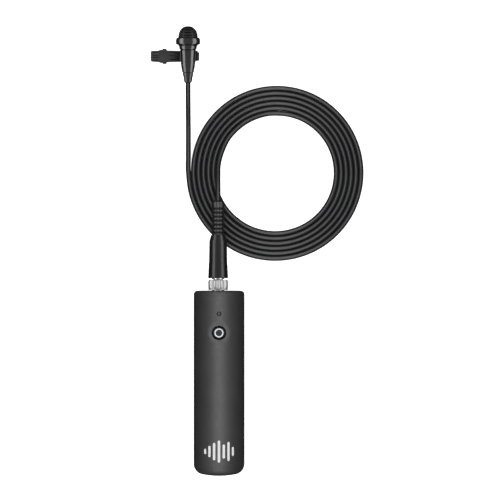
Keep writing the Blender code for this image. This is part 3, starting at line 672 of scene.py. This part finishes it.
def make_level_mark():
    """A plain row of sound-level bars, printed where the transmitter carries its badge."""
    film = 0.016 * MM
    width = 1.15 * MM
    pitch = 2.3 * MM
    centre_y = TOP_Y + MARK_Y
    for index, tall in enumerate(MARK_HEIGHTS):
        middle_x = (index - (len(MARK_HEIGHTS) - 1) / 2) * pitch
        outline = arc((0, tall * MM / 2 - width / 2), width / 2, 0, 180, 8)
        outline += arc((0, -tall * MM / 2 + width / 2), width / 2, 180, 360, 8)
        bar = extruded(f"level_bar_{index + 1}", outline, film, Matrix.Identity(4))
        for vert in bar.data.vertices:
            angle = (middle_x + vert.co.x) / BODY_R
            radius = BODY_R + vert.co.z
            vert.co = (BODY_X + radius * sin(angle), centre_y + vert.co.y, BODY_Z + radius * cos(angle))
        smooth(bar)
        dress(bar, "print", "transmitter", "white_light")


def make_jack():
    """The threaded bush that the lock nut screws on."""
    bush = mm([(1.95, 1.9), (2.2, 2.15), (2.75, 2.15)])
    height = 2.0
    while height > 0.2:
        bush += mm([(3.0, height - 0.12), (2.8, height - 0.3)])
        height -= 0.36
    bush += mm([(2.8, -2.38), (4.8, -2.38), (4.8, -3.38), (1.95, -3.38)])
    piece = turned("jack_bush", bush, PLUG_TOP, steps=64)
    dress(piece, "nickel", "transmitter", "nickel", "threaded_bush")


# ---------------------------------------------------------------- plug

NUT_LOBES = 9


def make_nut():
    """The grip ring: rounded lobes with deep grooves between them, and a plain rim at its foot."""
    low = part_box("lock_nut")[0].y - PLUG_FOOT_Y
    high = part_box("lock_nut")[1].y - PLUG_FOOT_Y
    groove = 0.5 * MM
    steps = NUT_LOBES * 28
    # Each row is a radius, a distance from the nut's top or foot, and the share of the grooves' depth.
    top = ((2.5, 0.15, 0), (2.65, 0, 0), (3.72, 0, 0), (4.32, 0.02, 0.4), (4.6, 0.24, 0.8), (4.72, 0.5, 1))
    foot = ((4.72, 1.35, 1), (4.72, 1.05, 0.9), (4.66, 0.85, 0.5), (4.6, 0.7, 0.15), (4.58, 0.55, 0),
            (4.67, 0.42, 0), (4.7, 0.2, 0), (4.47, 0, 0), (3.35, 0, 0))
    bore = ((3.35, 1.24, 0), (2.5, 1.24, 0))
    rows = [(radius * MM, high - drop * MM, depth) for radius, drop, depth in top]
    rows += [(radius * MM, low + rise * MM, depth) for radius, rise, depth in foot]
    rows += [(radius * MM, high - drop * MM, depth) for radius, drop, depth in bore]

    def build(shape):
        rings = []
        for radius, height, depth in rows:
            ring = []
            for index in range(steps):
                angle = 2 * pi * index / steps
                wave = 0.5 + 0.5 * cos(NUT_LOBES * (angle + pi / 2))
                here = radius - groove * depth * wave ** 1.6
                ring.append(shape.verts.new((here * cos(angle), here * sin(angle), height)))
            rings.append(ring)
        for upper, lower in zip(rings, rings[1:] + rings[:1]):
            bridge(shape, upper, lower)

    nut = smooth(mesh_object("knurled_nut", build, PLUG_TOP, True), radians(40))
    dress(nut, "satin_nickel", "plug_lock", "nickel", "lock_nut")
    return nut


def make_plug_metal():
    """The turned pieces on the plug's axis, from the crimp on the cord to the tip."""
    core = mm([(1.25, 14.8), (2.4, 14.8), (2.4, 12.3), (2.9, 12.0), (2.9, 5.05), (2.2, 5.05),
               (2.2, 3.2), (3.05, 3.2), (3.05, 2.45), (1.75, 2.45), (1.75, -4.0), (1.25, -4.0)])
    insulator = mm([(0.62, 15.6), (1.1, 15.6), (1.1, -4.05), (1.7, -4.05), (1.7, -4.65), (0.85, -4.65),
                    (0.85, -7.05), (1.7, -7.05), (1.7, -7.65), (0.62, -7.65)])
    ring = mm([(1.0, -4.68), (1.75, -4.68), (1.75, -7.02), (1.0, -7.02)])
    tip = mm([(0, 16.6), (0.5, 16.6), (0.5, -7.68), (1.75, -7.68), (1.75, -8.4), (1.55, -8.75), (1.22, -9.25),
              (1.3, -9.55), (1.55, -9.95), (1.52, -10.3), (1.2, -11.0), (0.7, -11.42), (0, -11.55)])
    crimp = mm([(1.25, 21.0), (1.9, 21.0), (1.9, 19.6), (1.7, 19.4), (1.7, 18.6), (1.9, 18.4), (1.9, 17.0),
                (1.25, 17.0)])
    pieces = []
    for name, profile, look, slot, node in (
            ("crimp_sleeve", crimp, "brass", "brass", "cable_crimp"),
            ("plug_sleeve", core, "nickel", "nickel", "plug_core"),
            ("plug_separator", insulator, "chip", "chip_black", "plug_insulator"),
            ("plug_ring", ring, "nickel", "nickel", "plug_ring_contact"),
            ("plug_nose", tip, "nickel", "nickel", "plug_tip")):
        piece = turned(name, profile, PLUG_TOP, steps=64, edge=0.08 * MM)
        pieces.append(dress(piece, look, "microphone", slot, node))
    return pieces


HANDLE_TEETH = 18


def make_handle():
    """The plug's grip: a slim shoulder, a long taper and a scalloped collar over the grip ring."""
    profile = mm([(2.6, 25.89), (3.2, 25.89), (3.36, 25.82), (3.44, 25.6), (3.56, 25.1), (3.68, 24.6),
                  (3.82, 24.1), (3.95, 23.75), (4.07, 23.4), (4.15, 22.9), (4.19, 22.0), (4.22, 20.0),
                  (4.27, 16.5), (4.33, 13.2), (4.36, 12.8), (4.42, 12.4), (4.5, 10.5), (4.58, 8.8),
                  (4.64, 7.0), (4.69, 6.3), (4.69, 5.75), (4.5, 5.6), (3.2, 5.6), (3.2, 19.3), (2.6, 19.9)])
    handle = turned("handle_shell", profile, PLUG_TOP, steps=HANDLE_TEETH * 12)
    reach = 0.22 * MM
    for vert in handle.data.vertices:
        if vert.co.z < 6.1 * MM and Vector(vert.co.xy).length > 3.5 * MM:
            turn = atan2(vert.co.y, vert.co.x)
            vert.co.z += reach * cos(HANDLE_TEETH * turn)
    smooth(handle)
    return dress(handle, "grip", "microphone", "black_gloss", "plug_handle")


BOOT_RIBS = 7


def make_boot():
    """The bend relief: a round shoulder, then soft ribs down to the handle."""
    boot_r = 3.0 * MM
    valley_r = 2.42 * MM
    top = PLUG_TOP_Y - PLUG_FOOT_Y
    pitch = 1.89 * MM
    shoulder = 2.9 * MM
    profile = [(0, top - 0.25 * MM), (1.2 * MM, top - 0.25 * MM), (1.3 * MM, top),
               (1.9 * MM, top - 0.02 * MM)]
    profile += arc((boot_r - 1.1 * MM, top - 1.15 * MM), 1.1 * MM, 80, 0, 8)
    steps = 12
    start = top - shoulder
    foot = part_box("plug_handle")[1].y - PLUG_FOOT_Y + 0.05 * MM
    for index in range(BOOT_RIBS * steps + 1):
        height = start - pitch * index / steps
        if height < foot:
            break
        wave = 0.5 + 0.5 * cos(2 * pi * index / steps)
        profile.append((valley_r + (boot_r - valley_r) * wave ** 0.45, height))
    profile += [(2.7 * MM, foot), (2.3 * MM, foot), (2.3 * MM, 21.6 * MM), (0, 21.6 * MM)]
    boot = turned("ribbed_boot", profile, PLUG_TOP, steps=96)
    return dress(boot, "boot", "microphone", "boot_rubber", "plug_boot")


# ---------------------------------------------------------------- microphone

MIC_TOP = (MIC_X, MIC_Y, MIC_Z)
CAGE_R = 4.6 * MM
CAGE_BASE = 5.29
CAGE_H = (CAGE_BASE + CAGE_TIP) * MM
CAGE_POWER = 2.25


def dome_radius(height, radius=CAGE_R, rise=CAGE_H):
    """Radius of the fuller-than-round dome at a height below its tip."""
    up = max(0.0, 1 - height / rise)
    return radius * max(0.0, 1 - up ** CAGE_POWER) ** (1 / CAGE_POWER)


SLOT_HEIGHTS = (1.5, 2.9, 4.3)
SLOT_HALF = 0.3
CAGE_RIBS = 6
RIB_COLUMNS = 16
RIB_WIDTH = 3


def make_cage():
    """The slotted guard: rings and ribs left between the slots of a dome."""
    columns = CAGE_RIBS * RIB_COLUMNS
    depths = [-CAGE_TIP + step for step in (0.0, 0.04, 0.12, 0.25, 0.45, 0.7, 0.95)]
    for slot in SLOT_HEIGHTS:
        depths += [slot - SLOT_HALF, slot + SLOT_HALF, slot + 0.5, slot + 0.8]
    depths = sorted(set(round(d, 3) for d in depths if d < 5.2)) + [CAGE_BASE, 5.9, 6.5]

    def between_ribs(index):
        return index % RIB_COLUMNS >= RIB_WIDTH

    def build(shape):
        rings = []
        for depth in depths:
            radius = dome_radius((depth + CAGE_TIP) * MM) if depth < CAGE_BASE else CAGE_R
            if depth == depths[0]:
                rings.append([shape.verts.new((0, 0, CAGE_TIP * MM))] * columns)
                continue
            turn = [2 * pi * (index - RIB_WIDTH / 2) / columns for index in range(columns)]
            rings.append([shape.verts.new((radius * cos(a), radius * sin(a), -depth * MM)) for a in turn])
        for row, (upper, lower) in enumerate(zip(rings, rings[1:])):
            middle_depth = (depths[row] + depths[row + 1]) / 2
            slotted = any(abs(middle_depth - slot) < 0.1 for slot in SLOT_HEIGHTS)
            bridge(shape, upper, lower, between_ribs if slotted else None)

    cage = mesh_object("slotted_guard", build, MIC_TOP, True)
    shell = cage.modifiers.new("Solidify", "SOLIDIFY")
    shell.thickness = 0.42 * MM
    shell.offset = -1
    shell.use_even_offset = True
    keep_shape(cage)
    bevel(cage, 0.07 * MM, 2, 50)
    smooth(cage, radians(40))
    dress(cage, "cage", "windscreen", "black_metal", "windscreen_cage")


def make_screen():
    """Fine woven wire inside the guard, over the foam."""
    columns = 64
    rows = 18

    def build(shape):
        rings = []
        for row in range(rows):
            depth = 0.35 * MM + CAGE_H * ((row + 1) / rows) ** 1.5
            radius = dome_radius(depth - 0.3 * MM, CAGE_R - 0.5 * MM, CAGE_H - 0.5 * MM)
            turn = [2 * pi * (index + row / 2) / columns for index in range(columns)]
            rings.append([shape.verts.new((radius * cos(a), radius * sin(a), -depth)) for a in turn])
        for upper, lower in zip(rings, rings[1:]):
            bridge(shape, upper, lower)

    screen = mesh_object("wire_screen", build, MIC_TOP, True)
    strands = screen.modifiers.new("Wireframe", "WIREFRAME")
    strands.thickness = 0.09 * MM
    keep_shape(screen)
    smooth(screen)
    dress(screen, "cage", "windscreen", "black_metal")


def make_foam():
    """The foam cap under the screen; its outline runs down the inside and up the outside."""
    base = -CAGE_BASE * MM
    foot = -6.4 * MM
    steps = 12
    sides = []
    for radius, rise in mm([(2.8, 3.4), (3.88, 4.55)]):
        shares = [(index / steps) ** 1.6 for index in range(steps + 1)]
        side = [(dome_radius(rise * share, radius, rise), base + rise * (1 - share)) for share in shares]
        sides.append(side + [(radius, foot)])
    profile = sides[0] + sides[1][::-1]
    foam = turned("foam_cap", profile, MIC_TOP, steps=64)
    dress(foam, "foam", "windscreen", "foam_black", "foam_liner")


def make_collar():
    collar = mm([(4.8, -5.32), (5.1, -5.3), (5.3, -5.42), (5.55, -5.72), (5.66, -6.0), (5.71, -6.4),
                 (5.73, -7.0), (5.72, -7.85), (5.64, -8.2), (5.48, -8.43), (5.2, -8.5), (3.95, -8.5),
                 (3.95, -6.85), (4.8, -6.75)])
    piece = turned("collar_ring", collar, MIC_TOP, steps=128)
    dress(piece, "barrel", "windscreen", "black_gloss", "windscreen_collar")


def make_mic_body():
    """The neck ring, the tapered body and the cord's relief, one behind the other."""
    neck = mm([(3.25, -6.9), (3.75, -6.9), (3.75, -8.66), (4.6, -8.66), (4.68, -8.74), (4.58, -8.92),
               (4.36, -9.15), (4.22, -9.4), (4.15, -9.7), (4.1, -10.1), (4.0, -10.45), (3.93, -10.8),
               (3.86, -10.88), (3.25, -10.88)])
    body = mm([(2.5, -9.5), (3.05, -9.5), (3.05, -10.94), (3.52, -10.94), (3.52, -11.0), (3.84, -11.38),
               (3.73, -12.9), (3.61, -14.3), (3.51, -15.6), (3.42, -16.83), (3.36, -17.7), (3.3, -18.4),
               (3.2, -19.2), (3.05, -19.85), (2.91, -20.4), (2.84, -20.8), (2.79, -21.3), (2.76, -21.6),
               (2.68, -21.73), (1.7, -21.75), (1.7, -18.5), (2.5, -16.0)])
    boot = mm([(0, -19.2), (1.4, -19.2), (1.4, -21.8), (2.3, -21.8), (2.47, -21.92), (2.48, -22.3),
               (2.41, -22.9), (2.3, -23.45), (2.15, -24.0), (2.05, -24.6), (1.99, -25.2), (1.9, -25.75),
               (1.78, -26.15), (1.6, -26.42), (1.4, -26.62), (0, -26.62)])
    for name, profile, steps, look, slot, node in (
            ("neck_shell", neck, 128, "barrel", "black_gloss", "neck_ring"),
            ("body_shell", body, 128, "barrel", "black_gloss", "microphone_body"),
            ("cord_relief", boot, 96, "boot", "boot_rubber", "microphone_boot")):
        dress(turned(name, profile, MIC_TOP, steps=steps), look, "microphone", slot, node)


# ---------------------------------------------------------------- clip

CLIP_LEFT_X = CLIP_LOW.x
CLIP_MIDDLE = Vector((0, CLIP_Y, 0))
PIN = Vector((PIVOT.x, CLIP_Y, PIVOT.z))
SIDE_TURN = Matrix.Rotation(pi / 2, 4, "X")


def clip_plan():
    """The clip's outline from above, as a tall block that trims the side shapes."""
    half = mm([(0.0, 2.1), (0.3, 2.42), (3.9, 2.62), (4.2, 2.97), (5.8, 3.06), (7.3, 2.95), (7.7, 2.75),
               (8.6, 2.64), (19.5, 2.4), (21.2, 2.4), (21.35, 1.6), (21.9, 1.6), (22.05, 1.95),
               (22.93, 1.95)])
    points = half + [(x, -y) for x, y in half[::-1]]
    outline = [(CLIP_LEFT_X + x, CLIP_Y + y) for x, y in points]
    return extruded("plan", outline, 40 * MM, Matrix.Identity(4))


def clip_side(name, points):
    """A side outline, in millimetres from the clip's left end and the ground, wider than the clip."""
    outline = [(CLIP_LEFT_X + x * MM, z * MM) for x, z in points]
    return extruded(name, outline, 10 * MM, Matrix.Translation(CLIP_MIDDLE) @ SIDE_TURN)


def ear(y, low, high):
    """A web from low to high with a round end about the pin, y from the clip's middle."""
    pin = PIN + Vector((0, y, 0))
    half = Vector((0, 0.35 * MM, 0))
    reach = 1.15 * MM
    web = box("ear", (pin.x - reach, pin.y - half.y, low), (pin.x + reach, pin.y + half.y, high))
    return combine(web, rod("round_end", reach, pin - half, pin + half, 40), "UNION")


def make_cradle():
    """The split ring that grips the microphone, open upwards, on its pedestal."""
    half_width = 2.35 * MM
    centre = CLIP_Y - MIC_Y
    profile = [(4.55 * MM, centre + half_width), (4.55 * MM, centre - half_width),
               (3.68 * MM, centre - half_width), (3.98 * MM, centre + half_width)]
    ring = turned("cradle", profile, MIC_TOP, steps=96)
    spread = 8 * MM
    slope = 1.6
    wedge = extruded("wedge", [(MIC_X, MIC_Z + 0.4 * MM), (MIC_X + spread * slope, MIC_Z + spread),
                               (MIC_X - spread * slope, MIC_Z + spread)], 8 * MM,
                     Matrix.Translation(CLIP_MIDDLE) @ SIDE_TURN)
    combine(ring, wedge, "DIFFERENCE")
    pedestal = box("pedestal", (MIC_X - 1.9 * MM, CLIP_Y - 2.2 * MM, 3.6 * MM),
                   (MIC_X + 1.9 * MM, CLIP_Y + 2.2 * MM, 4.95 * MM))
    return combine(ring, pedestal, "UNION")


def v_groove(start, end, y, width):
    """A cutter for a V groove along the jaw's sloping top; ends are (x, top), all in millimetres."""
    half = width / 2
    depth = 0.6 * width

    def build(shape):
        rows = []
        for x, top in (start, end):
            section = ((-half, top), (0, top - depth), (half, top), (half, top + 1), (-half, top + 1))
            rows.append([shape.verts.new((CLIP_LEFT_X + x * MM, CLIP_Y + (y + across) * MM, z * MM))
                         for across, z in section])
        shape.faces.new(rows[0])
        shape.faces.new(rows[1])
        bridge(shape, rows[0], rows[1])

    return mesh_object("v_groove", build)


GROOVE_WIDTH = 0.55
LEVER_GROOVES = ((0.8, 7.12), (3.6, 6.15), (1.8, 0.35, -0.6, -1.95))
NOSE_GROOVES = ((9.0, 5.65), (14.0, 4.65), (1.8, 0.35, -1.5))


def make_front_jaw():
    """The upper jaw: a grooved lever and nose, two ears for the pin, and the cradle."""
    side = [(0.0, 6.2), (3.6, 4.95), (9.0, 4.45), (14.0, 3.45), (22.93, 2.3), (22.93, 3.4),
            (14.0, 4.65), (9.0, 5.65), (3.6, 6.15), (0.55, 7.21), (0.0, 6.93)]
    jaw = clip_side("front_jaw", side)
    combine(jaw, clip_plan(), "INTERSECT")
    for y in (-2.5 * MM, 2.5 * MM):
        combine(jaw, ear(y, PIVOT.z, 5.0 * MM), "UNION")
    combine(jaw, make_cradle(), "UNION")
    for start, end, places in LEVER_GROOVES, NOSE_GROOVES:
        for y in places:
            combine(jaw, v_groove(start, end, y, GROOVE_WIDTH), "DIFFERENCE")
    combine(jaw, pin_hole(), "DIFFERENCE")
    smooth(bevel(jaw, 0.1 * MM, 2, 35))
    dress(jaw, "clip", "clip_front", "black_shell", "clip_front_jaw")


def pin_hole():
    reach = Vector((0, 5 * MM, 0))
    return rod("pin_hole", 0.8 * MM, PIN - reach, PIN + reach, 40)


def make_rear_jaw():
    """The lower jaw: a flat plate with teeth at its nose and two ears for the pin."""
    side = [(0.0, 0.0), (22.93, 0.0), (22.93, 2.0), (22.4, 2.0), (22.1, 1.5), (21.8, 2.0), (21.3, 2.0),
            (21.0, 1.3), (0.0, 1.3)]
    jaw = clip_side("rear_jaw", side)
    combine(jaw, clip_plan(), "INTERSECT")
    for y in (-1.65 * MM, 1.65 * MM):
        combine(jaw, ear(y, 1.0 * MM, PIVOT.z), "UNION")
    combine(jaw, pin_hole(), "DIFFERENCE")
    smooth(bevel(jaw, 0.1 * MM, 2, 35))
    dress(jaw, "clip", "clip_rear", "black_shell", "clip_rear_jaw")


def make_pin():
    profile = mm([(0, 3.6), (0.75, 3.58), (0.9, 3.5), (0.95, 3.35), (0.95, 3.0), (0.65, 3.0), (0.65, -3.0),
                  (0.95, -3.0), (0.95, -3.35), (0.9, -3.5), (0.75, -3.58), (0, -3.6)])
    pin = turned("hinge_pin", profile, PIN, steps=48)
    dress(pin, "clip", "clip_front", "black_metal", "clip_pivot_pin")


def make_spring():
    """A torsion spring wound on the pin, with one leg along the front jaw and the other along the rear jaw.
    """
    coil_r = 0.98
    half = 0.95
    turns = 3.5
    steps = 84
    route = [(-4.6, -half, 1.05), (-3.3, -half, 1.03), (-2.0, -half, 1.0), (-1.0, -half, 0.99)]
    for index in range(steps + 1):
        angle = pi / 2 - 2 * pi * turns * index / steps
        route.append((coil_r * cos(angle), half * (2 * index / steps - 1), coil_r * sin(angle)))
    route += [(-1.0, half, -0.99), (-2.0, half, -1.05), (-3.3, half, -1.12), (-4.6, half, -1.2)]
    curve = wire("spring_wire", [PIN + Vector(point) * MM for point in route], 0.17 * MM, 4)
    bpy.context.view_layer.update()
    shape = bpy.data.meshes.new_from_object(curve.evaluated_get(bpy.context.evaluated_depsgraph_get()))
    bpy.data.objects.remove(curve)
    spring = add_object("torsion_spring", shape)
    spring.data.materials.clear()
    spring.data.materials.append(LOOKS["steel"])
    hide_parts("clip_spring")
    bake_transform(spring)


# ---------------------------------------------------------------- CAD nodes that stay

KEPT_LOOKS = {
    "black_shell": "shell", "black_gloss": "gloss", "black_metal": "clip", "cord_jacket": "cord",
    "boot_rubber": "rubber", "nickel": "nickel", "brass": "brass", "steel": "steel", "white_light": "white",
    "clear_lens": "lens", "board_green": "board", "chip_black": "chip", "grey_plastic": "grey",
    "foam_black": "foam", "cell_wrap": "wrap", "wire_red": "red"}


def dress_kept_nodes():
    """Give every CAD node the look of its record slot; those that a piece replaces stay hidden."""
    slots = {part["node"]: part["material_slot"] for part in frame["record"]["subparts"]}
    for node, obj in frame["nodes"].items():
        look = LOOKS[KEPT_LOOKS[slots[node]]]
        if not obj.material_slots:
            obj.data.materials.append(look)
        for material_slot in obj.material_slots:
            material_slot.material = look


# ---------------------------------------------------------------- stage

FLOOR_REACH = 6.0
FLOOR_THICKNESS = 0.002
FLOOR_GAP = 0.00002
FLOOR_GLOW = 0.93


def make_floor():
    """A pale floor just under the set, which shows white and throws no light on the pieces."""
    floor = box("floor", (-FLOOR_REACH, -FLOOR_REACH, -FLOOR_THICKNESS),
                (FLOOR_REACH, FLOOR_REACH, -FLOOR_GAP))
    look = Nodes("pale_floor", (0.9, 0.9, 0.9), 0.9)
    look.shader.inputs["Specular IOR Level"].default_value = 0.0
    look.shader.inputs["Emission Color"].default_value = (1, 1, 1, 1)
    look.shader.inputs["Emission Strength"].default_value = FLOOR_GLOW
    floor.data.materials.clear()
    floor.data.materials.append(look.material)
    floor.visible_glossy = False
    floor.visible_diffuse = False


SHELL_PIECES = ("housing_shell", "cap_shell", "status_window")
CORD_PIECES = ("microphone_cord", "ribbed_boot")
CLIP_PIECES = ("front_jaw", "rear_jaw", "hinge_pin")
BARREL_PIECES = ("collar_ring", "neck_shell", "body_shell", "cord_relief")
NUT_PIECES = ("knurled_nut",)
LIGHT_TARGET = Vector((0.015, 0.0, 0.0))

# Soft boxes 1 m away to the left and to the right: kind, lean from the vertical, width, radiance and
# pieces. The box without pieces reaches every mesh but the shell's, the barrel's and the clip's.
SIDE_LENGTH = 2.2
SIDE_PANELS = (
    ("panel", radians(55), 0.55, 2.3, ()),
    ("barrel_panel", radians(67), 0.7, 3.9, BARREL_PIECES),
    ("nut_panel", radians(84), 0.45, 1.0, NUT_PIECES),
    ("clip_panel", radians(55), 0.55, 0.9, CLIP_PIECES))

# Soft boxes overhead: name, offset from the target, width, length, radiance and pieces.
CLIP_LEAN = radians(25)
TOP_PANELS = (
    ("clip_top_panel", (sin(CLIP_LEAN), 0, cos(CLIP_LEAN)), 0.8, 0.3, 1.15, CLIP_PIECES),
    ("cord_panel", (0, 0, 1.2), 0.5, 3.0, 3.8, CORD_PIECES),
    ("shell_panel", (0, 0, 1.2), 0.55, 2.0, 7.2, SHELL_PIECES))

# Low soft boxes before and behind the set.
END_OFFSET = 1.2
END_HEIGHT = 0.5
END_WIDTH = 0.55
END_LENGTH = 1.0
SHELL_END_RADIANCE = 5.5
CLIP_END_RADIANCE = 2.2


def add_panel(name, offset, width, length, radiance, pieces):
    """A soft box of even brightness that faces the target and reaches only the pieces that are named."""
    light = bpy.data.lights.new(name, "AREA")
    light.shape = "RECTANGLE"
    light.size = width
    light.size_y = length
    light.energy = radiance * width * length * pi
    place = LIGHT_TARGET + Vector(offset)
    obj = add_object(name, light, place)
    obj.rotation_euler = (LIGHT_TARGET - place).to_track_quat("-Z", "Y").to_euler()
    receivers = bpy.data.collections.new(name + "_receivers")
    for piece in pieces:
        receivers.objects.link(bpy.data.objects[piece])
    obj.light_linking.receiver_collection = receivers


def make_lights():
    """Soft boxes on each side for the highlights, overhead for the broad shine, and at both ends."""
    bars = tuple(obj.name for obj in bpy.data.objects if obj.name.startswith("level_bar"))
    left_out = SHELL_PIECES + BARREL_PIECES + CLIP_PIECES
    others = [obj.name for obj in bpy.data.objects if obj.type == "MESH" and obj.name not in left_out]
    for name, side in (("left", -1), ("right", 1)):
        for kind, lean, width, radiance, pieces in SIDE_PANELS:
            offset = (side * sin(lean), 0, cos(lean))
            add_panel(name + "_" + kind, offset, SIDE_LENGTH, width, radiance, pieces or others)
    for name, offset, width, length, radiance, pieces in TOP_PANELS:
        add_panel(name, offset, width, length, radiance, pieces)
    for name, side in (("front_panel", -1), ("back_panel", 1)):
        offset = (0, side * END_OFFSET, END_HEIGHT)
        add_panel(name, offset, END_WIDTH, END_LENGTH, SHELL_END_RADIANCE, SHELL_PIECES + bars)
        add_panel("clip_" + name, offset, END_WIDTH, END_LENGTH, CLIP_END_RADIANCE, CLIP_PIECES)


SKY_FOOT = 0.05
SKY_TOP = 0.6
SKY_DIM = 0.03
SKY_BRIGHT = 0.45


def make_world():
    """White behind everything for the camera; for the pieces, a soft sky that brightens upwards."""
    world = bpy.data.worlds.new("studio")
    bpy.context.scene.world = world
    world.use_nodes = True
    tree = world.node_tree
    background = tree.nodes["Background"]
    background.inputs["Color"].default_value = (1, 1, 1, 1)
    place = tree.nodes.new("ShaderNodeTexCoord")
    axes = tree.nodes.new("ShaderNodeSeparateXYZ")
    sky = tree.nodes.new("ShaderNodeMapRange")
    sky.inputs["From Min"].default_value = SKY_FOOT
    sky.inputs["From Max"].default_value = SKY_TOP
    sky.inputs["To Min"].default_value = SKY_DIM
    sky.inputs["To Max"].default_value = SKY_BRIGHT
    path = tree.nodes.new("ShaderNodeLightPath")
    choice = tree.nodes.new("ShaderNodeMix")
    choice.inputs["B"].default_value = 1.0
    tree.links.new(place.outputs["Generated"], axes.inputs["Vector"])
    tree.links.new(axes.outputs["Z"], sky.inputs["Value"])
    tree.links.new(path.outputs["Is Camera Ray"], choice.inputs["Factor"])
    tree.links.new(sky.outputs["Result"], choice.inputs["A"])
    tree.links.new(choice.outputs["Result"], background.inputs["Strength"])
    bpy.context.scene.view_settings.view_transform = "Standard"


# ---------------------------------------------------------------- the set

make_camera()
cord = make_cord()
plug_pieces = [make_boot(), make_handle(), make_nut()] + make_plug_metal()
make_housing()
make_cap()
make_button()
make_status_light()
make_level_mark()
make_jack()
make_cage()
make_screen()
make_foam()
make_collar()
make_mic_body()
make_front_jaw()
make_rear_jaw()
make_pin()
make_spring()
dress_kept_nodes()
make_floor()
make_lights()
make_world()
